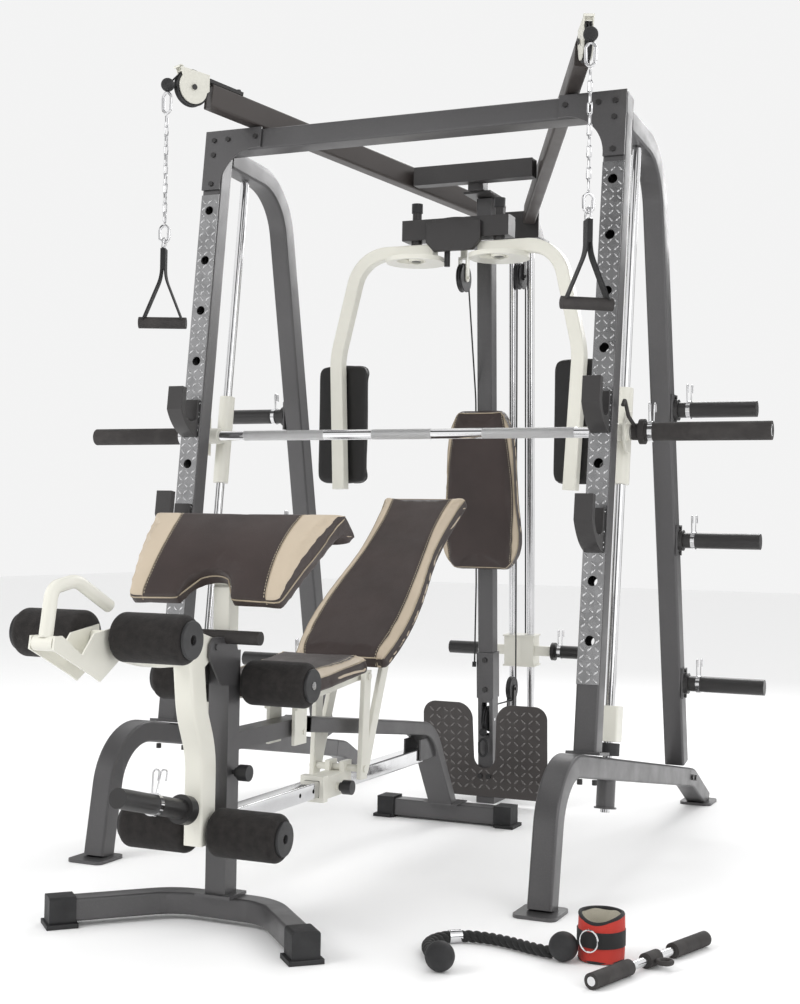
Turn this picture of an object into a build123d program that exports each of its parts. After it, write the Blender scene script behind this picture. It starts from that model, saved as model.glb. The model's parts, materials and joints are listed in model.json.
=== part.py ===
from build123d import *
import os
from math import cos, radians, sin, tan

# Multi station home gym: a smith-machine cage with a cable tower behind it and a free-standing bench in front.
# Millimetres.  X is to the machine's right seen from the front, Y runs to the rear, Z is up.
# Stations are measured from a datum line on the floor near the machine's middle; on writing, all of it moves so
# that the middle of the footprint is at the origin.
CENTRE_Y = 212.5

os.makedirs("parts", exist_ok=True)

# ---- driving dimensions -------------------------------------------------------------------------------
TUBE = 60.0                # side of the square tube in the cage
WALL = 2.5                 # its wall
CORNER = 7.0               # its outer corner radius
UPRIGHT_X = 606.0          # centre plane of the front uprights, bases and rear frames
LEAN = 7.0                 # degrees the front uprights and the guide rods lean back
FACE_Y = 184.0             # front face of the uprights, carried down to the floor
HOLE_PITCH = 150.0         # catch holes, along the upright
HOLE_R = 13.0
HOLE_COUNT = 9
FIRST_HOLE_Z = 600.0

BAR_Y, BAR_Z, BAR_R = 452.0, 1135.0, 14.5
BAR_HALF = 1016.0          # half the bar's overall length
SLEEVE_R = 24.5
GUIDE_X, GUIDE_R = 611.0, 12.5
GUIDE_Y, GUIDE_Z = 505.0, 999.0        # one point on a guide rod's axis
PEG_R = 23.5
CLIP_STEP = 0.4            # how much smaller in radius a sleeve or peg is where its clip sits
SLEEVE_SEAT_X, PEG_SEAT_X = 725.0, 700.0       # where the full radius begins, outboard of the clip

POST = 50.0                # tower post
POST_LEAN = 3.16           # degrees it leans forward going up
POST_FACE_Y = 1166.6       # its front face at the floor

PULLEY_R, PULLEY_T = 43.5, 18.0    # cable wheels
SMALL_PULLEY_R, SMALL_PULLEY_T = 40.0, 16.0
HEAD_PULLEY = (0.0, 899.0, 1642.0)
LOW_PULLEY = (0.0, 1172.0, 268.0)
TOP_PULLEY = (0.0, 1431.0, 1732.0)
BASE_PULLEY = (0.0, 1401.0, 344.0)
SEAT_IN_GROOVE = 1.0       # how far inside a wheel's rim the cable's centre line lies
CABLE_R = 2.5

PEC_X, PEC_Y, PEC_Z = 134.0, 843.0, 1718.0     # butterfly arm pivots and the arms' centre height
PEC_PAD_Y = 857.5          # front face of the butterfly pads
TOWER_X, TOWER_LEAN = 32.0, 2.78               # weight carriage rods
CARRIAGE_Y, CARRIAGE_Z = 1496.0, 468.0         # middle of the weight carriage

BALL_AHEAD, BALL_BELOW = 77.0, -6.0            # cable ball, from the arm pulley's centre
CHAIN_X, CHAIN_Y = 611.0, 173.0
CHAIN_TOP, CHAIN_FOOT = 2008.0, 1712.0         # upper and lower end of each chain

BENCH_POST = 50.0
BENCH_POST_Y = -497.0
LEVER_Y, LEVER_Z = -586.0, 611.0               # leg developer pivot
CURL_Y, CURL_Z = -1141.0, 652.0                # curl handle pivot
SEAT_Y, SEAT_Z = -187.0, 384.0                 # seat pivot
SHAFT_Y, SHAFT_Z = 82.0, 263.0                 # backrest shaft on the slider
HINGE_Y, HINGE_Z = 98.0, 495.0                 # seat to backrest pivot
RAIL_Z, RAIL = 228.0, 40.0                     # slider rail
HANDLE_TURN = {"right": 35.0, "left": 22.0}     # degrees each stirrup hangs turned about its chain
SIDES = (-1, 1)


# ---- helpers ------------------------------------------------------------------------------------------
def save(name, *shapes):
    """Write one node: all its solids, moved to the footprint's middle."""
    solids = [solid for shape in shapes for solid in shape.solids()]
    node = solids[0] if len(solids) == 1 else Compound(solids)
    export_step(Location((0, -CENTRE_Y, 0)) * node, f"parts/{name}.step")


def block(x0, x1, y0, y1, z0, z1):
    return Pos((x0 + x1) / 2, (y0 + y1) / 2, (z0 + z1) / 2) * Box(abs(x1 - x0), abs(y1 - y0), abs(z1 - z0))


def rod(start, end, radius, bore=0.0):
    """A round bar between two points, or a pipe when it has a bore."""
    start, end = Vector(*start), Vector(*end)
    plane = Plane(origin=start, z_dir=end - start)
    disc = Circle(radius) if bore == 0 else Circle(radius) - Circle(bore)
    return extrude(plane * disc, amount=(end - start).length)


def beam(points, width, depth, radii=None, wall=None, corner=CORNER, side=(1, 0, 0)):
    """A rectangular tube along a bent centre line; width lies along side."""
    points = [Vector(*point) for point in points]
    path = FilletPolyline(*points, radius=radii) if radii else Polyline(*points)
    plane = Plane(origin=points[0], x_dir=side, z_dir=points[1] - points[0])

    def skin(inset):
        outline = RectangleRounded(width - 2 * inset, depth - 2 * inset, max(corner - inset, 1.0))
        return sweep(plane * outline, path=path)

    return skin(0) if wall is None else skin(0) - skin(wall)


def bent_rod(points, radius, radii, side=(1, 0, 0)):
    """A round bar along a bent centre line."""
    points = [Vector(*point) for point in points]
    path = FilletPolyline(*points, radius=radii)
    plane = Plane(origin=points[0], x_dir=side, z_dir=points[1] - points[0])
    return sweep(plane * Circle(radius), path=path)


def side_plate(outline, x0, x1):
    """A flat plate cut to an outline of (y, z) points, between two x stations."""
    face = make_face(Polyline(*outline, close=True))
    return extrude(Plane.YZ.offset(min(x0, x1)) * face, amount=abs(x1 - x0))


def mirrored(shape):
    return mirror(shape, about=Plane.YZ)


def both(shape):
    """A right-hand piece and its left-hand twin."""
    return [shape, mirrored(shape)]


def soft(outline, plane, thick, radius):
    """A closed pad: an outline extruded and rounded all over."""
    pad = extrude(plane * outline, amount=thick)
    return fillet(pad.edges(), radius)


# Planes that follow the leaning members: local x is X, local y runs up the member, normal to the front.
LEAN_SIN, LEAN_COS = sin(radians(LEAN)), cos(radians(LEAN))
FRONT = Plane(origin=(0, FACE_Y, 0), x_dir=(1, 0, 0), z_dir=(0, -LEAN_COS, LEAN_SIN))
POST_SIN, POST_COS = sin(radians(POST_LEAN)), cos(radians(POST_LEAN))
POST_FRONT = Plane(origin=(0, POST_FACE_Y, 0), x_dir=(1, 0, 0), z_dir=(0, -POST_COS, -POST_SIN))


def on_front(x0, x1, z0, z1, near, far):
    """A block on the uprights' front plane; near and far are depths behind the face."""
    centre = ((x0 + x1) / 2, (z0 + z1) / 2 / LEAN_COS)
    outline = Pos(*centre) * Rectangle(x1 - x0, (z1 - z0) / LEAN_COS)
    return extrude(FRONT.offset(-near) * outline, amount=-(far - near))


def on_post(x0, x1, z0, z1, near, far):
    """A block on the tower post's front plane."""
    outline = Pos((x0 + x1) / 2, (z0 + z1) / 2 / POST_COS) * Rectangle(x1 - x0, (z1 - z0) / POST_COS)
    return extrude(POST_FRONT.offset(-near) * outline, amount=-(far - near))


def post_face(z):
    return POST_FACE_Y - z * tan(radians(POST_LEAN))


def guide_point(z):
    """The guide rod's axis at a height, on the right side."""
    return (GUIDE_X, GUIDE_Y + (z - GUIDE_Z) * tan(radians(LEAN)), z)


HOLE_ZS = [FIRST_HOLE_Z + n * HOLE_PITCH * LEAN_COS for n in range(HOLE_COUNT)]


# ---- cage: bases, uprights, rear frames ---------------------------------------------------------------
def side_bases():
    """Bent base tube with its front foot plate, on each side, and the guide rod's lower sleeve."""
    path = [(UPRIGHT_X, -86.5, 8), (UPRIGHT_X, -27, 332), (UPRIGHT_X, 1262, 121)]
    tube = beam(path, TUBE, 57, radii=148, wall=WALL)
    foot = Plane.XY * Pos(UPRIGHT_X, -100) * RectangleRounded(104, 116, 18)
    sleeve = rod(guide_point(160), guide_point(238), 24, GUIDE_R + 0.5)
    flange = rod(guide_point(160), guide_point(164), 29, GUIDE_R + 0.5)
    channel = rod(guide_point(120), guide_point(330), GUIDE_R + 0.5)
    base = (tube - channel) + extrude(foot, amount=8) + ((sleeve + flange) - tube)
    return both(base)


def rear_feet():
    path = [(UPRIGHT_X, 1264, 120.7), (UPRIGHT_X, 1330, 109), (UPRIGHT_X, 1538, 7)]
    tube = beam(path, TUBE, 57, radii=150, wall=WALL)
    tube = tube - block(500, 700, 1400, 1700, -60, 7.99)
    plate = extrude(Pos(UPRIGHT_X, 1520) * RectangleRounded(100, 120, 18), amount=8)
    return both(tube + plate)


def front_uprights():
    inner = UPRIGHT_X - TUBE / 2
    outer = UPRIGHT_X + TUBE / 2
    shell = on_front(inner, outer, 326, 1966, 0, TUBE)
    shell = fillet(shell.edges().filter_by(lambda edge: edge.length > 1000), CORNER)
    shell = shell - on_front(inner + WALL, outer - WALL, 300, 2000, WALL, TUBE - WALL)
    for z in HOLE_ZS:
        shell = shell - hole_cutter(z, TUBE + 5)
    flange = on_front(inner - 14, outer + 14, 321.5, 328.5, -14, TUBE + 14)
    return both(shell + flange)


def hole_cutter(z, depth):
    return extrude(FRONT.offset(10) * Pos(UPRIGHT_X, z / LEAN_COS) * Circle(HOLE_R), amount=-depth - 10)


def faceplates():
    plate = on_front(UPRIGHT_X - 29, UPRIGHT_X + 29, 492, 1838, -2.5, 0)
    for z in HOLE_ZS:
        plate = plate - hole_cutter(z, 5)
    return both(plate)


def top_crossbeam():
    """The beam over both uprights, closed by a cap at each end."""
    span = on_front(-UPRIGHT_X - 30, UPRIGHT_X + 30, 1966, 2027, 0, TUBE)
    span = fillet(span.edges().filter_by(Axis.X), CORNER)
    return span - on_front(-UPRIGHT_X - 27, UPRIGHT_X + 27, 1969, 2024, WALL, TUBE - WALL)


GUSSET_BOLTS = ((605, 2000), (559, 2000), (468, 2001), (604, 1956), (604, 1869))


def corner_gussets():
    """Steel corner plate with a quarter-round inner edge."""
    top, low, inner, leg = (z / LEAN_COS for z in (2029, 1852, 1969, 1969))
    outline = make_face(
        Line((UPRIGHT_X + 29, low), (UPRIGHT_X + 29, top))
        + Line((UPRIGHT_X + 29, top), (450, top))
        + Line((450, top), (450, inner))
        + Line((450, inner), (474, inner))
        + RadiusArc((474, inner), (UPRIGHT_X - 29, low + 14), 112)
        + Line((UPRIGHT_X - 29, low + 14), (UPRIGHT_X - 29, low))
        + Line((UPRIGHT_X - 29, low), (UPRIGHT_X + 29, low)))
    return both(extrude(FRONT.offset(2.6) * outline, amount=5))


def rear_frames():
    """Rear upright that bends over at the top and runs forward to the front upright."""
    path = [(UPRIGHT_X, 1205.5, 173), (UPRIGHT_X, 818, 1944), (UPRIGHT_X, 487, 1961)]
    tube = beam(path, TUBE, TUBE, radii=190, wall=WALL)
    tube = tube - on_front(500, 700, 1850, 2100, -20, TUBE + 0.5)
    return both(tube)


def guide_rods():
    smith = rod(guide_point(150), guide_point(1921), GUIDE_R)
    tower = rod(tower_point(60), tower_point(1840), 12.5)
    return both(smith) + both(tower)


def stop_collars():
    """Cream stop block and black rubber bumper at the foot of each guide rod."""
    line = Plane(origin=guide_point(330), x_dir=(1, 0, 0), z_dir=(0, LEAN_SIN, LEAN_COS))
    hole = Circle(GUIDE_R + 0.2)
    stop = extrude(line * (RectangleRounded(58, 58, 6) - hole), amount=92)
    bumper = rod(guide_point(294), guide_point(326), 30, GUIDE_R + 0.2)
    return both(stop) + both(bumper)


def storage_point(z):
    """Centre line of the rear upright at a height."""
    return 1206 - 0.217 * (z - 160)


def storage_pegs():
    pegs = []
    for z in (1233, 852, 420):
        y = storage_point(z)
        pegs += both(block(636.2, 642, y - 28, y + 28, z - 45, z + 45))
        pegs += both(rod((642, y, z), (654, y, z), 31))
        pegs += both(rod((654, y, z), (PEG_SEAT_X, y, z), PEG_R - CLIP_STEP)
                     + rod((PEG_SEAT_X, y, z), (880, y, z), PEG_R))
        pegs += both(clip(684, y, z, PEG_R - CLIP_STEP))
    return pegs


def clip(x, y, z, radius):
    """Spring clip: a wire coil round a peg with two finger loops above it."""
    band = rod((x - 6, y, z), (x + 6, y, z), radius + 3.2, radius + 0.2)
    loops = [bent_rod([(x + dx, y + dy, z + radius + 1), (x + dx, y + 1.6 * dy, z + radius + 50),
                       (x + dx, y + 1.6 * dy + 15, z + radius + 50), (x + dx, y + 1.6 * dy + 15, z + radius + 28)],
                      1.9, (6.0, 6.0)) for dx, dy in ((-4, -9), (4, 6))]
    return band + loops[0] + loops[1]


# ---- smith bar ----------------------------------------------------------------------------------------
def smith_bar():
    return [rod((-BAR_HALF, BAR_Y, BAR_Z), (BAR_HALF, BAR_Y, BAR_Z), BAR_R)]


def bar_sleeves():
    """Black plate sleeves with their flanges, spring clips and the lock hooks that turn with the bar."""
    bore = BAR_R + 0.05
    seat = rod((690, BAR_Y, BAR_Z), (SLEEVE_SEAT_X, BAR_Y, BAR_Z), SLEEVE_R - CLIP_STEP, bore)
    sleeve = seat + rod((SLEEVE_SEAT_X, BAR_Y, BAR_Z), (BAR_HALF - 1, BAR_Y, BAR_Z), SLEEVE_R, bore)
    flange = rod((676, BAR_Y, BAR_Z), (690, BAR_Y, BAR_Z), 33, bore)
    collar = rod((656, BAR_Y, BAR_Z), (676, BAR_Y, BAR_Z), 22, bore)
    hook = bent_rod([(666, BAR_Y - 14, BAR_Z + 12), (655, BAR_Y - 42, BAR_Z + 38), (655, BAR_Y - 78, BAR_Z + 78),
                     (655, BAR_Y - 96, BAR_Z + 62)], 5, (20, 8), side=(1, 0, 0))
    return both(sleeve + flange + collar + (hook - rod((600, BAR_Y, BAR_Z), (700, BAR_Y, BAR_Z), bore))) \
        + both(clip(706, BAR_Y, BAR_Z, SLEEVE_R - CLIP_STEP))


def bar_carriages():
    """Cream tube on the guide rod, with the boss that carries the bar and its D plate."""
    shell = rod(guide_point(999), guide_point(1257), 22.5)
    boss = rod((584, BAR_Y, BAR_Z), (652, BAR_Y, BAR_Z), 23)
    y_rod = guide_point(BAR_Z)[1]
    web = block(596, 626, BAR_Y, y_rod, BAR_Z - 20, BAR_Z + 20)
    plate = side_plate([(BAR_Y - 30, BAR_Z + 22), (BAR_Y - 12, BAR_Z + 50), (BAR_Y + 36, BAR_Z + 56),
                        (BAR_Y + 36, BAR_Z - 56), (BAR_Y - 12, BAR_Z - 50), (BAR_Y - 30, BAR_Z - 22)], 636, 642)
    body = shell + boss + web + plate
    body = body - rod(guide_point(980), guide_point(1280), GUIDE_R + 0.1)
    body = body - rod((570, BAR_Y, BAR_Z), (660, BAR_Y, BAR_Z), BAR_R + 0.1)
    return both(body)


def bar_catch(z, reach, height):
    """J-shaped catch on a pin in one of the upright's holes: right-hand side."""
    slope = z / LEAN_COS
    lip = reach - 22
    side = make_face(
        Line((3, -height * 0.62), (3, 34)) + Line((3, 34), (14, 34)) + Line((14, 34), (14, -height * 0.2))
        + Spline((14, -height * 0.2), (reach * 0.55, -height * 0.28), (lip, -4))
        + Line((lip, -4), (lip, 56)) + Line((lip, 56), (reach, 56)) + Line((reach, 56), (reach, -10))
        + Spline((reach, -10), (reach * 0.62, -height * 0.42), (3, -height * 0.62)))
    plane = Plane(origin=FRONT.from_local_coords(Vector(UPRIGHT_X + 24, slope, 0)),
                  x_dir=FRONT.z_dir, z_dir=(-1, 0, 0))
    hook = extrude(plane * side, amount=48)
    axis = FRONT * Pos(UPRIGHT_X, slope)
    pin = extrude(axis * Pos(0, 0, 3) * Circle(HOLE_R - 0.6), amount=-34)
    return hook + pin


# ---- top arms and tower -------------------------------------------------------------------------------
ARM_FALL = 0.155
ARM_FRONT, ARM_REAR = (552.0, 297.0), (50.0, 1360.0)
ARM_HIGH, ARM_WIDE = 70.0, 40.0
ARM_TURN = 25.3            # degrees the arms splay outward going forward
ARM_PULLEY = (577.3, 243.4, 2103.6)    # centre of the wheel at an arm's front end
ARM_PULLEY_R = 52.0


def arm_z(y):
    """Underside of the top arms at a station."""
    return 2028.5 - ARM_FALL * (y - 460) + 3.0


def arm_x(y):
    return ARM_FRONT[0] + (ARM_REAR[0] - ARM_FRONT[0]) * (y - ARM_FRONT[1]) / (ARM_REAR[1] - ARM_FRONT[1])


def top_arms():
    ends = [(x, y, arm_z(y) + ARM_HIGH / 2) for x, y in (ARM_FRONT, ARM_REAR)]
    arm = beam(ends, ARM_HIGH, ARM_WIDE, wall=WALL, side=(0, ARM_FALL, 1))
    start, end = Vector(*ends[0]), Vector(*ends[1])
    run = (end - start).normalized()
    plug = beam([start + run * 3, start + run * 8], ARM_HIGH - 2, ARM_WIDE - 2, corner=5, side=(0, ARM_FALL, 1))
    arm = arm + plug
    slot_y = ARM_REAR[1] - 55
    slot = Pos(arm_x(slot_y) + 20, slot_y, arm_z(slot_y) + ARM_HIGH / 2) * Box(60, 42, 30)
    return both(arm - slot)


def arm_bridge():
    """Cross tube between the arms, the post's top plate, and the rear junction bracket."""
    y = 975
    drop = arm_z(y)
    cross = block(-arm_x(y + 22) + 25, arm_x(y + 22) - 25, y - 22, y + 22, drop, drop + 58)
    top_z = arm_z(1100) - 9
    top = block(-45, 45, 1000, 1130, top_z, top_z + 8)
    stem = block(-25, 25, 985, 1030, top_z + 8, drop + 30)
    rear = block(-78, 78, 1372, 1380, arm_z(1376) - 40, arm_z(1376) + 52)
    shelf = block(-78, 78, 1380, 1490, arm_z(1376) - 40, arm_z(1376) - 32)
    ribs = [side_plate([(1380, arm_z(1376) - 32), (1485, arm_z(1376) - 32), (1380, arm_z(1376) + 48)],
                       side * 60, side * 66) for side in SIDES]
    return [cross, top + stem, rear + shelf + ribs[0] + ribs[1]]


def tower_point(z):
    return (TOWER_X, CARRIAGE_Y - (z - CARRIAGE_Z) * tan(radians(TOWER_LEAN)), z)


def rear_post():
    """Square post of the tower: upper tube, bolted sleeve, and the slotted lower tube on its floor beam."""
    half = POST / 2
    upper = on_post(-half, half, 483, 1920, 0, POST)
    upper = fillet(upper.edges().filter_by(lambda edge: edge.length > 1000), 5)
    sleeve = on_post(-half - 3, half + 3, 336, 482, -3, POST + 3)
    lower = on_post(-half, half, 52, 336, 0, POST)
    lower = lower - on_post(-half + WALL, half - WALL, 60, 330, WALL, POST - WALL)
    lower = lower - on_post(-13, 13, 216, 322, -10, POST + 10)
    lower = lower - rod((-30, *LOW_PULLEY[1:]), (30, *LOW_PULLEY[1:]), 5)
    floor_beam = block(-30, 30, 1162, 1545, 0, 51.9)
    return [upper, sleeve, lower, floor_beam]


def foot_plate():
    """Tread-plate footrest with a slot for the post, on two spacers."""
    right = (Line((0, 22), (172, 22)) + Line((172, 22), (210, 62)) + Line((210, 62), (210, 278))
             + RadiusArc((210, 278), (168, 320), -42) + Line((168, 320), (90, 320))
             + RadiusArc((90, 320), (40, 262), -54) + Line((40, 262), (36, 150))
             + RadiusArc((36, 150), (0, 114), 36))
    half = make_face(right + Line((0, 114), (0, 22)))
    lobes = half + mirrored(half)
    spacer = on_post(-25, 25, 62, 112, -5, 0)
    return [extrude(POST_FRONT.offset(5) * lobes, amount=5) + spacer]


def pulley(x, y, z, radius=PULLEY_R, thick=PULLEY_T, bore=5.1):
    """Grooved cable wheel turning about X."""
    wheel = rod((x - thick / 2, y, z), (x + thick / 2, y, z), radius, bore)
    groove = Pos(x, y, z) * Rot(0, 90, 0) * Torus(radius + 1.5, 6)
    return wheel - groove


def fork(x, y, z, top, gap, width=26, plate=3.5):
    """Two cheeks either side of a pulley with the axle through them."""
    cheeks = []
    for side in SIDES:
        x0 = x + side * gap / 2
        x1 = x0 + side * plate
        cheek = block(min(x0, x1), max(x0, x1), y - width / 2, y + width / 2, z, top) \
            + rod((x0, y, z), (x1, y, z), width / 2)
        cheeks.append(cheek)
    half = gap / 2 + plate + 4
    axle = rod((x - half, y, z), (x + half, y, z), 5)
    cap = block(x - gap / 2 - plate, x + gap / 2 + plate, y - width / 2, y + width / 2, top, top + 4)
    return cheeks[0] + cheeks[1] + axle + cap


def on_arm(shape):
    """Place a piece built round the wheel's centre, facing -Y, on the right arm's front end."""
    return Pos(*ARM_PULLEY) * Rot(0, 0, ARM_TURN) * shape


def arm_bracket():
    """Cream pulley housing with its dark shank bolted along the top of the arm."""
    half = PULLEY_T / 2 + 1.2
    outline = make_face(
        Line((53, 45), (-44, 52)) + Line((-44, 52), (-36, 28)) + ThreePointArc((-36, 28), (-6, -45.6), (45, -8))
        + Line((45, -8), (53, -2)) + Line((53, -2), (53, 45)))
    cheeks = [extrude(Plane.YZ.offset(x0) * outline, amount=3.5) for x0 in (-half - 3.5, half)]
    cap = block(-half - 3.5, half + 3.5, 48.6, 53, 22, 46)
    curl = Pos(0, -42, 48) * Rot(0, 90, 0) * Cylinder(9, 2 * half + 7)
    curl = curl - Pos(0, -42, 48) * Rot(0, 90, 0) * Cylinder(6.5, 60) - block(-30, 30, -60, -38, 20, 48)
    axle = rod((-17, 0, 0), (17, 0, 0), 5)
    return on_arm(cheeks[0] + cheeks[1] + cap + curl + axle)


def arm_shank():
    """Flat bar that carries the housing, lying on top of the arm."""
    turn = (sin(radians(ARM_TURN)), -cos(radians(ARM_TURN)))
    ends = []
    for back in (54.5, 170.0):
        x, y = ARM_PULLEY[0] - back * turn[0], ARM_PULLEY[1] - back * turn[1]
        ends.append((x, y, arm_z(y) + ARM_HIGH + 7.5))
    bar = beam(ends, 26, 12, corner=2, side=(-turn[1], turn[0], 0))
    x, y, z = ends[1]
    return bar + rod((x + 8 * turn[0], y + 8 * turn[1], z + 4), (x + 8 * turn[0], y + 8 * turn[1], z + 13), 7)


def pulley_brackets():
    """The arms' pulley housings, the forks of the head, top and base pulleys and the low pulley's axle."""
    hx, hy, hz = HEAD_PULLEY
    head = fork(hx, hy, hz, 1700, PULLEY_T + 2.4) + rod((hx, hy, 1700), (hx, hy, 1749), 11)
    tx, ty, tz = TOP_PULLEY
    top = fork(tx, ty, tz, arm_z(1376) - 44.2, PULLEY_T + 2.4)
    bx, by, bz = BASE_PULLEY
    base = mirror(fork(bx, by, -bz, -56.2, SMALL_PULLEY_T + 2.4), about=Plane.XY)
    low_axle = rod((-25, *LOW_PULLEY[1:]), (25, *LOW_PULLEY[1:]), 5)
    return both(arm_bracket()) + both(arm_shank()) + [head, top, base, low_axle]


def pec_head():
    """Box bar that carries the two butterfly pivots, its domed front cover and the tube back to the post."""
    bar = block(-172, 172, 816, 876, 1750, 1812)
    neck = block(-25, 25, 876, post_face(1806) - 0.2, 1756, 1806)
    cover = make_face(
        Line((-88, 1738), (-62, 1710)) + Line((-62, 1710), (62, 1710)) + Line((62, 1710), (88, 1738))
        + Line((88, 1738), (88, 1796)) + ThreePointArc((88, 1796), (0, 1811), (-88, 1796))
        + Line((-88, 1796), (-88, 1738)))
    shield = extrude(Plane(origin=(0, 815.9, 0), x_dir=(1, 0, 0), z_dir=(0, -1, 0)) * cover, amount=16)
    shield = fillet(shield.faces().sort_by(Axis.Y)[0].edges(), 4)
    shafts = []
    for side in SIDES:
        x = side * PEC_X
        shafts.append(rod((x, PEC_Y, 1690), (x, PEC_Y, 1838), 14) + rod((x, PEC_Y, 1838), (x, PEC_Y, 1866), 17)
                      + rod((x, PEC_Y, 1739), (x, PEC_Y, 1749.9), 17))
    stop = rod((-30, 836, 1668), (-30, 836, 1749.9), 9)
    drilled = bar
    for side in SIDES:
        drilled = drilled - rod((side * PEC_X, PEC_Y, 1700), (side * PEC_X, PEC_Y, 1900), 14)
    return [drilled + neck, shield] + shafts + [stop]


def pec_arm():
    """Right-hand butterfly arm: it runs out from its pivot, bends down, and carries a crescent cable cam."""
    foot_z, knee_z = 992, 1400
    knee_y = PEC_Y - 14 * (PEC_Z - knee_z) / (PEC_Z - foot_z)
    tube = beam([(72, PEC_Y, PEC_Z), (318, PEC_Y, PEC_Z), (392, knee_y, knee_z), (372, PEC_Y - 14, foot_z)],
                40, 40, radii=(115, 260), corner=5, side=(0, 1, 0))
    bore = rod((PEC_X, PEC_Y, 1600), (PEC_X, PEC_Y, 1900), 14.1)
    disc = rod((PEC_X, PEC_Y, 1684), (PEC_X, PEC_Y, 1697.9), 92) - rod((PEC_X, PEC_Y - 40, 1600),
                                                                     (PEC_X, PEC_Y - 40, 1800), 44)
    disc = disc - block(0, 45, 700, 1000, 1600, 1800)
    disc = disc + rod((PEC_X, PEC_Y, 1690), (PEC_X, PEC_Y, 1700), 24)
    studs = [rod((383, PEC_Y - 10, z), (383, PEC_PAD_Y, z), 10) for z in (1090, 1300)]
    return (tube + disc + studs[0] + studs[1]) - bore


def pec_pad():
    face = Plane(origin=(388, PEC_PAD_Y, 1196), x_dir=(1, 0, 0), z_dir=(0, 1, 0))
    return soft(RectangleRounded(176, 376, 26), face, 52, 14)


def back_pad():
    """Tower back pad, narrowing towards its top."""
    right = [(92, 745), (133, 800), (132, 940), (122, 1120), (104, 1215), (78, 1258)]
    left = [(-x, y) for x, y in reversed(right)]
    outline = make_face(
        Line((-92, 745), (92, 745)) + Spline(*right) + Line((78, 1258), (-78, 1258)) + Spline(*left))
    return [soft(outline, POST_FRONT.offset(6), 50, 15)]


def weight_carriage():
    """Cream box on the two tower rods, with a plate peg each side, end plates and spring clips."""
    lean = Rot(TOWER_LEAN, 0, 0)
    centre = Pos(0, CARRIAGE_Y, CARRIAGE_Z)
    shell = centre * lean * Box(104, 62, 96)
    caps = [centre * lean * Pos(0, 0, dz) * Box(112, 70, 5) for dz in (-50.5, 50.5)]
    arms = [block(side * 50, side * 112, CARRIAGE_Y - 24, CARRIAGE_Y + 4, CARRIAGE_Z - 16, CARRIAGE_Z + 16)
            for side in SIDES]
    body = shell + arms[0] + arms[1]
    pieces = [body] + caps
    bored = []
    for piece in pieces:
        for side in SIDES:
            x, y0, _ = tower_point(350)
            low, high = (side * TOWER_X, y0, 350), (side * TOWER_X, tower_point(600)[1], 600)
            piece = piece - rod(low, high, 12.6)
        bored.append(piece)
    pegs = []
    y, z = CARRIAGE_Y - 10, CARRIAGE_Z
    for side in SIDES:
        pegs.append(rod((side * 112, y, z), (side * 124, y, z), 30))
        pegs.append(rod((side * 124, y, z), (side * 256, y, z), 21.5))
        pegs.append(clip(side * 140, y, z, 21.5))
    lug = block(-13, 13, CARRIAGE_Y + 30.5, CARRIAGE_Y + 50, CARRIAGE_Z - 12, CARRIAGE_Z + 12)
    bored[0] = bored[0] + (lug - rod(lift_point(400), lift_point(520), CABLE_R + 0.6))
    return bored + pegs


def lift_point(z):
    """The lifting cable's line behind the weight carriage, parallel to its rods."""
    return (0, tower_point(z)[1] + 39.6, z)


def tower_cable():
    """The steel cable's fixed runs: head pulley to low pulley, and the tower's rear run."""
    x, y, z = HEAD_PULLEY
    wrap = PULLEY_R - SEAT_IN_GROOVE
    front = [(0, y - wrap, z - 12), (0, y - wrap, z + wrap), (0, y + wrap, z + wrap), (0, y + wrap + 1, z - 20),
             (-32, post_face(1290) + 8, 1290), (-32, post_face(700) + 6, 700), (-32, 1131, 452)]
    front_run = bent_rod(front, CABLE_R, (wrap - 0.3, wrap - 0.3, 60, 120, 400))
    y, z = TOP_PULLEY[1], TOP_PULLEY[2] + wrap
    _, base_y, base_z = BASE_PULLEY
    _, low_y, low_z = LOW_PULLEY
    small = SMALL_PULLEY_R - SEAT_IN_GROOVE
    rear = [lift_point(430), lift_point(z), (0, y - wrap - 1.8, z), (0, base_y + small + 1.6, base_z - small),
            (0, low_y - small, low_z + small), (0, low_y - small, low_z - 8)]
    rear_run = bent_rod(rear, CABLE_R, (wrap - 1.2, wrap - 1.2, small - 0.5, small - 0.5))
    swage = rod(lift_point(430), lift_point(452), 6) - rear_run
    anchor = block(-38, -28.2, 1126, 1136, 436, 452)
    low_ball = Pos(0, low_y - small, low_z - 39) * Sphere(13) - rear_run
    pieces = [front_run, rear_run, swage, anchor - front_run, low_ball]
    pieces.append(snap_link(0, low_y - small, low_z - 52.2, 70))
    return pieces + arm_cable()


def snap_link(x, y, top, length):
    """Long oval snap hook hanging from a point, its loop facing along Y."""
    half = 13
    loop = [(x, y, top - 4), (x + half, y, top - 18), (x + half - 1, y, top - length + 16), (x, y, top - length + 4),
            (x - half + 1, y, top - length + 16), (x - half, y, top - 18)]
    path = FilletPolyline(*[Vector(*point) for point in loop], radius=9, close=True)
    plane = Plane(origin=path @ 0, z_dir=path % 0)
    gate = rod((x + half - 0.4, y, top - 24), (x + half - 0.9, y, top - length + 20), 5.2)
    return sweep(plane * Circle(4), path=path) + gate


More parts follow.
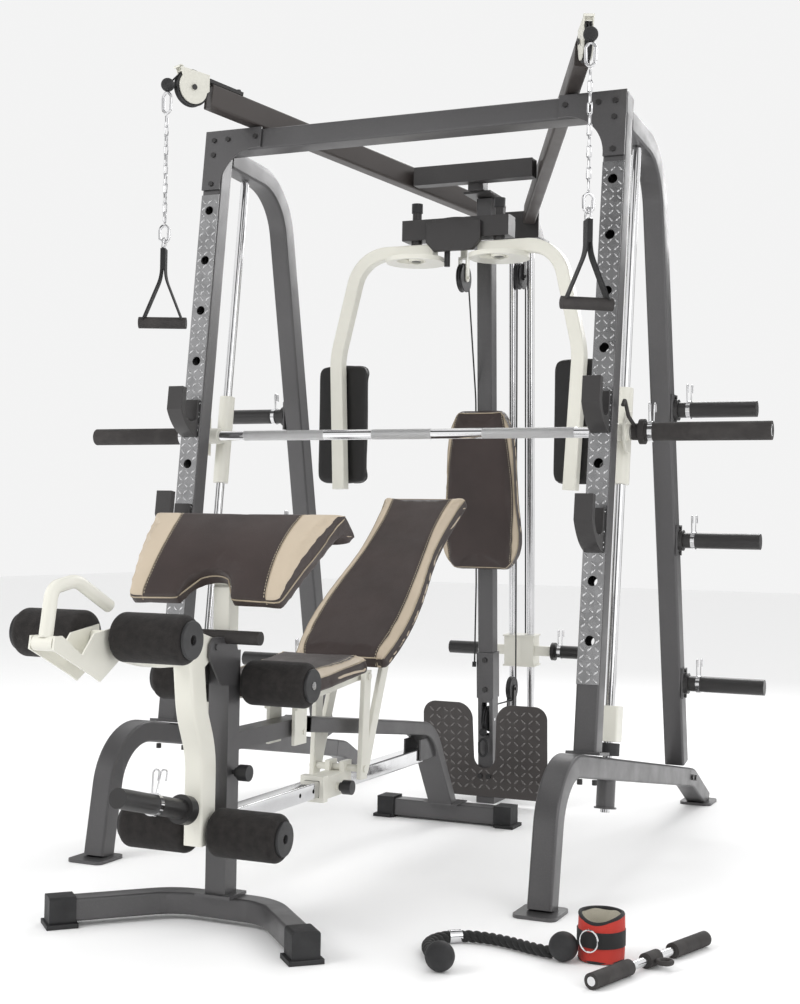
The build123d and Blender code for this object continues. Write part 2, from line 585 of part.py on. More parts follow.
def arm_cable():
    """On each side: the cable's last turn over the arm pulley, its ball stop, and the snap hook below it."""
    wrap = ARM_PULLEY_R - SEAT_IN_GROOVE
    angles = [radians(angle) for angle in (118, 80, 42)]
    arc = ThreePointArc(*[(0, -wrap * cos(angle), wrap * sin(angle)) for angle in angles])
    ball = (0, -BALL_AHEAD, BALL_BELOW)
    path = Wire([arc, Line(arc @ 1, ball)])
    plane = Plane(origin=arc @ 0, x_dir=(1, 0, 0), z_dir=arc % 0)
    run = sweep(plane * Circle(CABLE_R), path=path)
    stop = Pos(*ball) * Sphere(19)
    stop = stop - run
    run = on_arm(run)
    stop = on_arm(stop)
    return both(run) + both(stop) + both(snap_link(CHAIN_X, CHAIN_Y, CHAIN_TOP + 76, 74))


# ---- bench --------------------------------------------------------------------------------------------
def bench_frame():
    """Front base, post, seat beam and the lever's pivot bracket, welded together."""
    base = beam([(-292, -672, 36), (-118, -487, 36), (118, -487, 36), (292, -672, 36)], 50, 50,
                radii=130, corner=6, side=(0, 0, 1))
    plate = block(-44, 44, -534, -460, 61.05, 68)
    half = BENCH_POST / 2
    y0, y1 = BENCH_POST_Y - half, BENCH_POST_Y + half
    post = block(-half, half, y0, y1, 68, 598) - block(-22, 22, y0 + 3, y1 - 3, 74, 700)
    post = post - rod((15, BENCH_POST_Y, 332), (35, BENCH_POST_Y, 332), 5.1)
    seat_beam = block(-half, half, y1, -150, 378, 417)
    seat_beam = seat_beam - rod((-60, SEAT_Y, SEAT_Z), (60, SEAT_Y, SEAT_Z), 6.15)
    cheeks = []
    outline = [(y0 + 34, 521), (y0 + 34, 590), (y0 + 12, 628), (LEVER_Y + 8, 632), (LEVER_Y - 14, 632),
               (LEVER_Y - 28, 618), (LEVER_Y - 30, 590), (-564, 527)]
    for side in SIDES:
        cheeks.append(side_plate(outline, side * 26.5, side * 30.5) - post)
    bolt = rod((-34, LEVER_Y, LEVER_Z), (34, LEVER_Y, LEVER_Z), 7)
    saddle = block(-16, 16, y1, -447, 512, 540)
    shaft = rod((-200, -455, 526), (200, -455, 526), 9)
    grip = rod((-112, -540, 630), (112, -540, 630), 15)
    grip = grip - block(-27, 27, -524.9, -500, 600, 650)
    return [base, plate, post, seat_beam, cheeks[0], cheeks[1], bolt, saddle - shaft, shaft, grip]


def bench_rear_leg():
    path = [(0, -146, 398), (0, 636, 299), (0, 800, 58)]
    leg = beam(path, 75, 38, radii=150, wall=WALL, corner=5)
    cross = block(-178, 178, 806, 858, 6, 56)
    cross = fillet(cross.edges().filter_by(Axis.X), 5)
    foot = block(-52, 52, 776, 868, 56.05, 60)
    ears = [side_plate([(560, 215), (560, 275), (640, 275), (690, 215)], side * 21.5, side * 26) for side in SIDES]
    ears = [ear - beam(path, 75, 38, radii=150, corner=5) for ear in ears]
    leg = leg - block(-60, 60, 700, 900, 0, 60)
    return [leg, cross, foot] + ears


def bench_rail():
    """Plated rail that the backrest slider runs on."""
    half = RAIL / 2
    rail = block(-half, half, BENCH_POST_Y + BENCH_POST / 2 + 0.1, 592, RAIL_Z - half, RAIL_Z + half)
    rail = fillet(rail.edges().filter_by(Axis.Y), 4)
    rail = rail - block(-half + 2, half - 2, -400, 560, RAIL_Z - half + 2, RAIL_Z + half - 2)
    for y in (-164, -94, -24):
        rail = rail - rod((0, y, RAIL_Z), (60, y, RAIL_Z), 5.5)
    return [rail]


def rubber_feet():
    """Rubber end caps of both base tubes."""
    caps = []
    front = Plane(origin=(292.5, -672.6, 36), x_dir=(0, 0, 1), z_dir=(174, -185, 0))
    cap = extrude(front.offset(-26) * RectangleRounded(60, 60, 8), amount=58)
    tube = extrude(front.offset(-40) * RectangleRounded(50.2, 50.2, 6), amount=40)
    foot = extrude(front.offset(-30) * Pos(-31, 0) * Rectangle(10, 74), amount=68)
    caps += both((cap + foot) - tube)
    rear = block(160, 214, 800, 864, 0.0, 62) - block(150, 178, 805.9, 858.1, 5.9, 56.1)
    toe = block(168, 224, 792, 872, 0, 9)
    caps += both(rear + (toe - block(150, 178, 805.9, 858.1, 5.9, 56.1)))
    return [cap_ - block(-2000, 2000, -2000, 2000, -80, 0) for cap_ in caps]


SEAT_SLOPE = 5.6           # degrees the seat rises to the rear
BACK_SLOPE = 37.2          # degrees the backrest lies from level


def seat_plane(lift):
    """The seat pad's underside plane; local x is X, local y runs to the rear."""
    return Plane(origin=(0, -190, 488 + lift), x_dir=(1, 0, 0),
                 z_dir=(0, -sin(radians(SEAT_SLOPE)), cos(radians(SEAT_SLOPE))))


def seat_pad():
    outline = make_face(
        Line((-132, 190), (132, 190)) + Line((132, 190), (132, 20)) + Spline((132, 20), (124, -110), (100, -192))
        + Line((100, -192), (-100, -192)) + Spline((-100, -192), (-124, -110), (-132, 20))
        + Line((-132, 20), (-132, 190)))
    return [soft(outline, seat_plane(4), 52, 16)]


def seat_frame():
    """Cream saddle on the seat beam, two rails under the pad and the plate it is screwed to."""
    pan = extrude(seat_plane(0.5) * Rectangle(116, 300), amount=3.4)
    rail = [(-238, 454), (-238, 483.4), (40, 511), (84, 503), (98, 508), (110, 499), (104, 484), (80, 484)]
    rails = [side_plate(rail, side * 44, side * 52) for side in SIDES]
    cheeks = [side_plate([(-233, 357), (-172, 357), (-172, 470), (-233, 466)], side * 30, side * 38)
              for side in SIDES]
    links = [side_plate([(-233, 440), (-172, 440), (-172, 470), (-233, 466)], side * 38, side * 44)
             for side in SIDES]
    pivot = rod((-42, SEAT_Y, SEAT_Z), (42, SEAT_Y, SEAT_Z), 6)
    body = pan + pivot
    for piece in rails + cheeks + links:
        body = body + piece
    return [body]


def back_point(along, off):
    """A point on the backrest: along its slope from the lower front corner, and off behind the front face."""
    slope = radians(BACK_SLOPE)
    return (56 + along * cos(slope) + off * sin(slope), 550 + along * sin(slope) - off * cos(slope))


def back_plane(off):
    slope = radians(BACK_SLOPE)
    return Plane(origin=(0, *back_point(0, off)), x_dir=(1, 0, 0), z_dir=(0, -sin(slope), cos(slope)))


def backrest_pad():
    """Waisted back pad: widest a third of the way up, drawn in towards the top."""
    right = [(134, 0), (151, 120), (143, 300), (125, 450), (126, 580), (135, 712)]
    left = [(-x, y) for x, y in reversed(right)]
    outline = make_face(Line((-134, 0), (134, 0)) + Spline(*right) + Line((135, 712), (-135, 712)) + Spline(*left))
    return [soft(outline, back_plane(54), 50, 15)]


def backrest_frame():
    """Two V frames, leg and lever, that meet on the slider's shaft, with the pad's back rails and plate."""
    body = rod((-78, SHAFT_Y, SHAFT_Z), (78, SHAFT_Y, SHAFT_Z), 9)
    knee = (246.0, 606.0)
    for side in SIDES:
        x = side * 67
        leg = beam([(x, SHAFT_Y, SHAFT_Z - 26), (x, HINGE_Y, HINGE_Z + 16)], 14, 38, corner=3)
        lever = beam([(x, SHAFT_Y + 8, SHAFT_Z - 8), (x, *knee)], 14, 35, corner=3)
        start, end = back_point(150, 72), back_point(600, 72)
        rail = beam([(x, *start), (x, *end)], 14, 30, corner=3)
        bolt = rod((side * 60, HINGE_Y, HINGE_Z), (side * 79, HINGE_Y, HINGE_Z), 9)
        body = body + leg + lever + rail + bolt
    for along in (180, 380, 560):
        plate = extrude(back_plane(57) * Pos(0, along) * Rectangle(180, 46), amount=2.6)
        body = body + plate
    return [body]


def bench_slider():
    """Cream sleeve on the rail, with the lugs that hold the shaft and a black bush at its mouth."""
    inner = RAIL / 2 + 0.5
    outer = inner + 6.5
    sleeve = block(-outer, outer, -40, 104, RAIL_Z - outer, RAIL_Z + outer)
    lugs = [block(side * 14, side * outer, 60, 104, RAIL_Z + outer, SHAFT_Z + 18) for side in SIDES]
    neck = rod((outer, 22, RAIL_Z - 4), (outer + 8, 22, RAIL_Z - 4), 10)
    bush = block(-outer - 5, outer + 5, -64, -40, RAIL_Z - outer - 5, RAIL_Z + outer + 5)
    bore = block(-inner, inner, -100, 150, RAIL_Z - inner, RAIL_Z + inner)
    body = (sleeve + lugs[0] + lugs[1] + neck) - bore
    body = body - rod((-60, SHAFT_Y, SHAFT_Z), (60, SHAFT_Y, SHAFT_Z), 9.1)
    body = body - rod((outer - 10, 22, RAIL_Z - 4), (outer + 20, 22, RAIL_Z - 4), 5.1)
    return [body, bush - bore]


def pull_knob(x, y, z, pin):
    """Round knob on a locating pin along X."""
    return [rod((x - pin, y, z), (x, y, z), 5) + rod((x, y, z), (x + 9, y, z), 11)
            + rod((x + 9, y, z), (x + 34, y, z), 18)]


def preacher_post():
    """Cream post that slides in the bench post, with the plate under the arm pad."""
    y0, y1 = BENCH_POST_Y - 21, BENCH_POST_Y + 21
    post = block(-21, 21, y0, y1, 330, 800)
    post = fillet(post.edges().filter_by(Axis.Z), 4)
    cut = extrude(PREACHER.offset(-64) * Rectangle(400, 600), amount=200)
    plate = extrude(PREACHER.offset(-64) * Pos(0, 4) * Rectangle(170, 130), amount=4)
    return [(post - cut) + plate]


# The arm pad's upper surface: local x is X, local y climbs to the rear.
PREACHER_SLOPE = 42.6
PREACHER = Plane(origin=(0, -510.5, 830.0), x_dir=(1, 0, 0),
                 z_dir=(0, -sin(radians(PREACHER_SLOPE)), cos(radians(PREACHER_SLOPE))))


def preacher_pad():
    """Arm pad: flared towards the top, rolled over at the rear, with a shallow notch in its lower edge."""
    outline = make_face(
        Line((-197, -150), (-60, -150)) + ThreePointArc((-60, -150), (0, -80), (60, -150))
        + Line((60, -150), (197, -150)) + Line((197, -150), (250, 146)) + Line((250, 146), (-250, 146))
        + Line((-250, 146), (-197, -150)))
    plan = extrude(PREACHER.offset(-120) * outline, amount=150)
    plan = fillet(plan.edges().filter_by(lambda edge: abs(edge.tangent_at(0).dot(PREACHER.z_dir)) > 0.99), 14)
    section = make_face(
        Line((-150, -60), (-150, -20)) + ThreePointArc((-150, -20), (-20, 6), (98, 0))
        + ThreePointArc((98, 0), (134, -16), (146, -54)) + Line((146, -54), (146, -100))
        + Line((146, -100), (100, -100)) + Line((100, -100), (100, -60)) + Line((100, -60), (-150, -60)))
    section = fillet([corner for corner in section.vertices() if corner.Y < -19], 10)
    across = Plane(origin=PREACHER.from_local_coords(Vector(-260, 0, 0)), x_dir=PREACHER.y_dir, z_dir=(1, 0, 0))
    return [extrude(across * section, amount=520) & plan]


def leg_lever():
    """Cream lever of the leg developer: down tube, forward arm, pivot lugs, yoke, roller shafts and weight peg."""
    down = beam([(0, -592, 190), (0, -592, 385), (0, -634, 480), (0, -655, 640)], 46, 60, radii=(200, 200), corner=7)
    arm = beam([(0, -642, 598), (0, -800, 604), (0, -975, 645)], 44, 45, radii=300, corner=6)
    body = down + arm
    for side in SIDES:
        lug = side_plate([(-640, 560), (LEVER_Y + 4, LEVER_Z - 18), (LEVER_Y + 16, LEVER_Z),
                          (LEVER_Y + 4, LEVER_Z + 18), (-640, 645)], side * 14, side * 23)
        yoke = side_plate([(-940, 612), (-1008, 572), (-1030, 584), (CURL_Y - 14, CURL_Z - 10),
                           (CURL_Y - 10, CURL_Z + 14), (CURL_Y + 12, CURL_Z + 14), (-1066, 626), (-1030, 664),
                           (-940, 676)], side * 24, side * 28)
        body = body + lug + yoke
    body = body - rod((-40, LEVER_Y, LEVER_Z), (40, LEVER_Y, LEVER_Z), 7.15)
    body = body - rod((-15, LEVER_Y, LEVER_Z), (15, LEVER_Y, LEVER_Z), 24)
    shafts = [rod((-190, y, z), (190, y, z), 9) for y, z in ((-956, 655), (-573, 215))]
    boss = rod((0, -615, 262), (0, -646, 270), 14)
    collar = rod((0, -646, 270), (0, -672, 276.6), 31)
    peg = rod((0, -672, 276.6), (0, -901, 334.8), 20.5)
    peg_line = Plane(origin=(0, -774, 302.5), x_dir=(0, -0.969, 0.246), z_dir=(0, 0.246, 0.969))
    spring = peg_line * clip(0, 0, 0, 20.5)
    for shaft in shafts:
        body = body - shaft
    plug = rod((-23.9, CURL_Y, CURL_Z), (23.9, CURL_Y, CURL_Z), 7)
    return [body + boss, collar, peg, plug, spring] + shafts


def curl_handle():
    """Round bar handle that tips on the yoke's pivot sleeve."""
    sleeve = rod((-22.5, CURL_Y, CURL_Z), (22.5, CURL_Y, CURL_Z), 14, 7.15)
    loop = bent_rod([(0, CURL_Y, CURL_Z + 10), (0, CURL_Y + 16, 752), (0, -1052, 764), (0, -945, 712)], 13,
                    (28, 60))
    loop = loop - rod((-40, CURL_Y, CURL_Z), (40, CURL_Y, CURL_Z), 13)
    return [sleeve + loop]


def roller_pair(y, z, inner, radius=55.0, bore=9.2):
    """Two foam rollers on one shaft, each with a moulded end cap."""
    rollers = []
    for side in SIDES:
        foam = rod((side * inner, y, z), (side * 192, y, z), radius, bore)
        foam = fillet(foam.edges().filter_by(GeomType.CIRCLE).sort_by(SortBy.RADIUS)[-2:], 16)
        cap = rod((side * 192.1, y, z), (side * 199, y, z), 37, bore)
        rollers.append(foam)
        rollers.append(cap)
    return rollers


# ---- chains, handles, loose accessories ---------------------------------------------------------------
def handle(side, turn):
    """Stirrup handle that hangs below a chain: link, D-ring, webbing and grip tube, turned about its line."""
    z = 1640
    link = snap_link(0, 0, CHAIN_FOOT - 0.2, CHAIN_FOOT - z - 9)
    ring = rod((0, -23, z), (0, 23, z), 3.2)
    bow = bent_rod([(0, -21, z), (0, -21, z + 28), (0, 21, z + 28), (0, 21, z)], 3.2, (20, 20), side=(1, 0, 0))
    top = block(-7, 7, -17, 17, z - 58, z - 2)
    straps = [beam([(end * 4.5, 0, z - 50), (end * 7, 0, z - 85), (end * 54, 0, z - 200)], 34, 4,
                   radii=120, corner=1.2, side=(0, 1, 0)) for end in SIDES]
    grip = rod((-66, 0, z - 208), (66, 0, z - 208), 16)
    hung = link + ring + bow + top + straps[0] + straps[1] + grip
    return [Pos(side * CHAIN_X, CHAIN_Y) * Rot(0, 0, turn) * hung]


def chain():
    """The chain as one plain cord, hanging straight from the upper snap hook."""
    return [rod((CHAIN_X, CHAIN_Y, CHAIN_FOOT), (CHAIN_X, CHAIN_Y, CHAIN_TOP), 7)]


ROPE_Z = 14.0
ROPE = [(556, -592, ROPE_Z), (515, -545, ROPE_Z), (488, -489, ROPE_Z), (494, -432, ROPE_Z), (537, -395, ROPE_Z),
        (596, -391, ROPE_Z), (653, -405, ROPE_Z), (704, -427, ROPE_Z), (742, -433, ROPE_Z)]


def rope():
    """Triceps rope as one plain tube, lying in a loose bow."""
    radii = []
    points = [Vector(*point) for point in ROPE]
    for before, here, after in zip(points, points[1:], points[2:]):
        turn = (here - before).get_angle(after - here)
        run = min((here - before).length, (after - here).length)
        radii.append(0.45 * run / tan(radians(turn / 2)))
    print("rope radii", [round(radius) for radius in radii])
    path = FilletPolyline(*points, radius=radii)
    plane = Plane(origin=points[0], x_dir=(0, 0, 1), z_dir=points[1] - points[0])
    return [sweep(plane * Circle(12.5), path=path)]


def rope_ends():
    first = Pos(569, -616, 30) * Sphere(30)
    last = Pos(766, -436, 30) * Sphere(30)
    ferrule = rod((509, -419, ROPE_Z), (530, -401, ROPE_Z), ROPE_Z, 12.6)
    return [first - rod(ROPE[1], ROPE[0], 12.6), last - rod(ROPE[-2], ROPE[-1], 12.6), ferrule]


def ankle_strap():
    """Padded cuff standing on the floor, with a strap round its middle and a D-ring at the front."""
    x, y, tall = 830, -384, 94
    cuff = rod((x, y, 0), (x, y, tall), 47, 40)
    cuff = cuff - Pos(x, y - 75, tall + 26) * Rot(90, 0, 0) * Cylinder(40, 100)
    belt = rod((x, y, 32), (x, y, 64), 50, 47.1)
    tab = block(x - 14, x + 2, y - 54, y - 48.2, 56, 63)
    ring = Pos(x - 10, y - 54, 46) * Rot(90, 0, 0) * Torus(16, 2.4)
    return [cuff, belt + tab + ring]


def short_bar():
    start, end = Vector(872, -596, 16), Vector(1000, -188, 16)
    run = (end - start).normalized()
    steel = rod(start, end, 9)
    grips = [rod(start, start + run * 132, 16, 9.05), rod(end - run * 132, end, 16, 9.05)]
    middle = start + run * 214
    hub = rod(middle - run * 22, middle + run * 22, 15.5, 9.05)
    eye = Pos(middle.X + 30, middle.Y - 9, 16) * Torus(14, 5)
    return [steel, grips[0], grips[1], hub + eye]


# ---- bolts --------------------------------------------------------------------------------------------
def hex_bolt(x, y, z, direction, radius=9, height=7):
    """Bolt head standing on a face."""
    plane = Plane(origin=(x, y, z), z_dir=direction)
    return extrude(plane * RegularPolygon(radius, 6), amount=height)


def frame_bolts():
    heads = []
    for x, z in GUSSET_BOLTS:
        spot = FRONT.from_local_coords(Vector(x, z / LEAN_COS, 7.6))
        heads += both(hex_bolt(*spot, FRONT.z_dir, 8, 5))
    for z in (1233, 852, 420):
        for dz in (-38, 38):
            heads += both(hex_bolt(642, storage_point(z), z + dz, (1, 0, 0), 6, 5))
    for z in (458, 364):
        spot = POST_FRONT.from_local_coords(Vector(0, z / POST_COS, 3))
        heads.append(hex_bolt(*spot, POST_FRONT.z_dir, 9, 6))
    for x in (-14, 14):
        spot = POST_FRONT.from_local_coords(Vector(x, 88, 10))
        heads.append(hex_bolt(*spot, POST_FRONT.z_dir, 9, 6))
    for y in (1288, 1330):
        z = 109 + (1330 - y) * 0.17
        heads += both(hex_bolt(UPRIGHT_X + 30, y, z, (1, 0, 0), 9, 6))
    for y in (190, 320):
        z = 332 - 0.1637 * (y + 27) - 30
        heads += both(rod((UPRIGHT_X, y, z - 14), (UPRIGHT_X, y, z - 1.2), 7))
    for x in (-20.5, 17):
        heads += both(on_arm(rod((x, 0, 0), (x + 3.5, 0, 0), 8)))
    return heads


for side, hand in ((1, "right"), (-1, "left")):
    flip = (lambda shapes: shapes) if side == 1 else (lambda shapes: [mirrored(shape) for shape in shapes])
    save(f"upper_catch_{hand}", *flip([bar_catch(HOLE_ZS[4], 98, 118)]))
    save(f"lower_catch_{hand}", *flip([bar_catch(HOLE_ZS[2], 112, 128)]))
    save(f"pec_arm_{hand}", *flip([pec_arm()]))
    save(f"pec_pad_{hand}", *flip([pec_pad()]))
    save(f"arm_pulley_{hand}", *flip([on_arm(pulley(0, 0, 0, radius=ARM_PULLEY_R))]))
    save(f"handle_{hand}", *handle(side, HANDLE_TURN[hand]))
    save(f"chain_{hand}", *flip(chain()))

save("side_bases", *side_bases(), *rear_feet())
save("front_uprights", *front_uprights())
save("top_crossbeam", top_crossbeam())
save("steel_facings", *faceplates(), *corner_gussets())
save("rear_frames", *rear_frames())
save("guide_rods", *guide_rods())
save("stop_collars", *stop_collars())
save("storage_pegs", *storage_pegs())
save("top_arms", *top_arms())
save("arm_bridge", *arm_bridge())
save("pulley_brackets", *pulley_brackets())
save("rear_post", *rear_post())
save("foot_plate", *foot_plate())
save("pec_head", *pec_head())
save("back_pad", *back_pad())
save("tower_cable", *tower_cable())
save("frame_bolts", *frame_bolts())
save("smith_bar", *smith_bar())
save("bar_sleeves", *bar_sleeves())
save("bar_carriages", *bar_carriages())
save("head_pulley", pulley(*HEAD_PULLEY))
save("low_pulley", pulley(*LOW_PULLEY, radius=SMALL_PULLEY_R, thick=SMALL_PULLEY_T))
save("base_pulley", pulley(*BASE_PULLEY, radius=SMALL_PULLEY_R, thick=SMALL_PULLEY_T))
save("top_pulley", pulley(*TOP_PULLEY))
save("weight_carriage", *weight_carriage())
save("bench_frame", *bench_frame(), *bench_rear_leg())
save("bench_rail", *bench_rail())
save("rubber_feet", *rubber_feet())
save("seat_frame", *seat_frame())
save("seat_pad", *seat_pad())
save("backrest_frame", *backrest_frame())
save("backrest_pad", *backrest_pad())
save("bench_slider", *bench_slider())
save("slider_knob", *pull_knob(36, 22, RAIL_Z - 4, 12))
save("post_knob", *pull_knob(33, BENCH_POST_Y, 332, 11))
save("preacher_post", *preacher_post())
save("preacher_pad", *preacher_pad())
save("leg_lever", *leg_lever())
save("curl_handle", *curl_handle())
save("upper_rollers", *roller_pair(-956, 655, 34, radius=48))
save("seat_rollers", *roller_pair(-455, 526, 36, radius=50))
save("lower_rollers", *roller_pair(-573, 215, 28, radius=52))
save("rope", *rope())
save("rope_ends", *rope_ends())
save("ankle_strap", *ankle_strap())
save("short_bar", *short_bar())
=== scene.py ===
import json
from math import cos, pi, radians, sin

import bmesh
import bpy
from mathutils import Matrix, Vector
from mathutils.bvhtree import BVHTree


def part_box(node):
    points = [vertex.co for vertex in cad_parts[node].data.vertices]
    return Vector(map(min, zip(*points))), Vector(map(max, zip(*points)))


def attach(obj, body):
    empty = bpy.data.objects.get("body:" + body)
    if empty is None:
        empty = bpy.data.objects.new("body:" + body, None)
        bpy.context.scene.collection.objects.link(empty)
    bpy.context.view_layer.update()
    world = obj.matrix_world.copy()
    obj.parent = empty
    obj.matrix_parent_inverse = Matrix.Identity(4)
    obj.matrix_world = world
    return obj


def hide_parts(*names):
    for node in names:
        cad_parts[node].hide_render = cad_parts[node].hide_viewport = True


# The looks of a multi station home gym around its CAD frame: a smith-machine cage with a cable tower, and a
# bench. Places are in millimetres from the part's own datum line, as in its source; spot() gives metres.
DATUM_Y = 212.5
SIDES = (-1, 1)
BAR_Y, BAR_Z = 452, 1135           # the smith bar's axis
LEAN = radians(7)                  # how far the front uprights lean back
POST_LEAN = radians(3.16)          # how far the tower post leans forward
POST_FACE_Y = 1166.6               # the tower post's front face at the floor

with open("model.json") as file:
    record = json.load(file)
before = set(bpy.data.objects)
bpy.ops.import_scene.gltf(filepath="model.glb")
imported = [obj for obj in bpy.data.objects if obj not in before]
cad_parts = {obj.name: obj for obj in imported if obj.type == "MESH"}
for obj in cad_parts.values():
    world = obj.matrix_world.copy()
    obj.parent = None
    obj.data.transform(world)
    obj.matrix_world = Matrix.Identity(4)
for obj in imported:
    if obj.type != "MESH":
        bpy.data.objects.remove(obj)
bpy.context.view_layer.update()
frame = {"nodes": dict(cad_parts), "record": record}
scene = bpy.context.scene


def spot(x, y, z):
    """A place in millimetres from the datum line, as a point in the frame."""
    return Vector((x, y - DATUM_Y, z)) / 1000


def body_of_node(node):
    bodies = frame["record"]["behaviour"]["bodies"]
    return next(body for body, nodes in bodies.items() if node in nodes)


# ---- camera, light, floor -----------------------------------------------------------------------------
def make_camera():
    yaw, pitch, roll = radians(23.73), radians(1.05), radians(1.0)
    ahead = Vector((-sin(yaw), cos(yaw), 0))
    right = Vector((cos(yaw), sin(yaw), 0))
    up = Vector((0, 0, 1))
    ahead, up = ahead * cos(pitch) + up * sin(pitch), up * cos(pitch) - ahead * sin(pitch)
    right, up = right * cos(roll) + up * sin(roll), up * cos(roll) - right * sin(roll)
    camera = bpy.data.objects.new("camera", bpy.data.cameras.new("camera"))
    camera.data.lens, camera.data.sensor_width = 54.27, 36.0
    turned = Matrix((right, up, -ahead)).transposed().to_4x4()
    camera.matrix_world = Matrix.Translation(spot(1690, -3400, 869)) @ turned
    scene.collection.objects.link(camera)
    scene.camera = camera


def area_light(name, place, aim, size, power, mirrored=True):
    """A square light; when it isn't mirrored, glossy surfaces don't reflect it."""
    light = bpy.data.objects.new(name, bpy.data.lights.new(name, "AREA"))
    light.data.size, light.data.energy = size, power
    light.visible_glossy = mirrored
    light.location = place
    light.rotation_euler = (Vector(aim) - Vector(place)).to_track_quat("-Z", "Y").to_euler()
    scene.collection.objects.link(light)


def make_world():
    """White studio walls with dark flags between the lights, which only glossy surfaces reflect."""
    world = bpy.data.worlds.new("studio")
    world.use_nodes = True
    tree = world.node_tree
    generated = tree.nodes.new("ShaderNodeTexCoord").outputs["Generated"]
    heading = add(tree, "ShaderNodeSeparateXYZ", Vector=generated)
    x, y, z = (heading.outputs[i] for i in range(3))
    around = math(tree, "ADD", math(tree, "MULTIPLY", x, 7.0), math(tree, "MULTIPLY", y, 3.0))
    wave = math(tree, "SINE", math(tree, "ADD", around, math(tree, "MULTIPLY", z, 4.0)))
    flags = spread(tree, wave, -0.5, 0.35, 0.10, 1.05)
    ray = tree.nodes.new("ShaderNodeLightPath").outputs
    wall = spread(tree, ray["Is Camera Ray"], 0, 1, 0.92, 0.90)
    strength = add(tree, "ShaderNodeMix", Factor=ray["Is Glossy Ray"], A=wall, B=flags).outputs["Result"]
    tree.nodes["Background"].inputs["Color"].default_value = (1, 1, 1, 1)
    tree.links.new(strength, tree.nodes["Background"].inputs["Strength"])
    return world


def make_stage():
    scene.world = make_world()
    scene.view_settings.view_transform = "Standard"
    mesh = bpy.data.meshes.new("studio_floor")
    mesh.from_pydata([(-14, -9, 0), (14, -9, 0), (14, 20, 0), (-14, 20, 0)], [], [(0, 1, 2, 3)])
    floor = bpy.data.objects.new("studio_floor", mesh)
    floor.location.z = -0.0005
    scene.collection.objects.link(floor)
    paint, _, shader = new_material("studio_white", 0.9)
    shader.inputs["Base Color"].default_value = (0.93, 0.93, 0.93, 1)
    mesh.materials.append(paint)
    area_light("key", (-2.6, -3.8, 3.6), (0, 0, 1.0), 2.2, 110, mirrored=False)
    area_light("fill", (4.0, -2.4, 2.2), (0, 0, 0.9), 2.6, 40)
    area_light("rim", (0.4, 3.6, 3.4), (0, 0, 1.2), 2.4, 80)


# ---- material building blocks -------------------------------------------------------------------------
def new_material(name, rough, metal=0.0):
    made = bpy.data.materials.new(name)
    made.use_nodes = True
    shader = made.node_tree.nodes["Principled BSDF"]
    shader.inputs["Roughness"].default_value = rough
    shader.inputs["Metallic"].default_value = metal
    return made, made.node_tree, shader


def add(tree, kind, **inputs):
    """A node of a kind, its inputs set from values or linked from sockets; _0 and _1 are inputs by number."""
    node = tree.nodes.new(kind)
    for key, value in inputs.items():
        numbered = key[0] == "_" and key[1:].isdigit()
        socket = node.inputs[int(key[1:]) if numbered else key.replace("_", " ")]
        if isinstance(value, bpy.types.NodeSocket):
            tree.links.new(value, socket)
        else:
            socket.default_value = value
    return node


def math(tree, operation, *values):
    node = add(tree, "ShaderNodeMath", **{f"_{i}": value for i, value in enumerate(values)})
    node.operation = operation
    return node.outputs[0]


def place(tree, stretch=(1, 1, 1)):
    """Object coordinates, stretched."""
    coordinates = tree.nodes.new("ShaderNodeTexCoord").outputs["Object"]
    mapping = add(tree, "ShaderNodeMapping", Vector=coordinates, Scale=stretch)
    return mapping.outputs["Vector"]


def grain(tree, scale, detail=3.0, rough=0.55, stretch=(1, 1, 1)):
    node = add(tree, "ShaderNodeTexNoise", Vector=place(tree, stretch), Scale=scale, Detail=detail,
               Roughness=rough)
    return node.outputs["Fac"]


def spread(tree, value, low, high, to_low=0.0, to_high=1.0):
    """A value moved from one range into another, and held inside it."""
    node = add(tree, "ShaderNodeMapRange", Value=value, From_Min=low, From_Max=high, To_Min=to_low,
               To_Max=to_high)
    return node.outputs["Result"]


def rough_between(tree, shader, scale, detail, low, high, smooth, dull):
    """Roughness that drifts between smooth and dull with a noise."""
    rough = spread(tree, grain(tree, scale, detail), low, high, smooth, dull)
    tree.links.new(rough, shader.inputs["Roughness"])


def blend_color(tree, share, first, second):
    node = tree.nodes.new("ShaderNodeMix")
    node.data_type = "RGBA"
    for socket, value in ((node.inputs[0], share), (node.inputs[6], first), (node.inputs[7], second)):
        if isinstance(value, bpy.types.NodeSocket):
            tree.links.new(value, socket)
        else:
            socket.default_value = value if isinstance(value, float) else (*value[:3], 1)
    return node.outputs[2]


def bump(tree, shader, height, strength, distance):
    node = add(tree, "ShaderNodeBump", Height=height, Strength=strength, Distance=distance)
    tree.links.new(node.outputs["Normal"], shader.inputs["Normal"])


def tint(color, factor):
    return tuple(min(1.0, channel * factor) for channel in color)


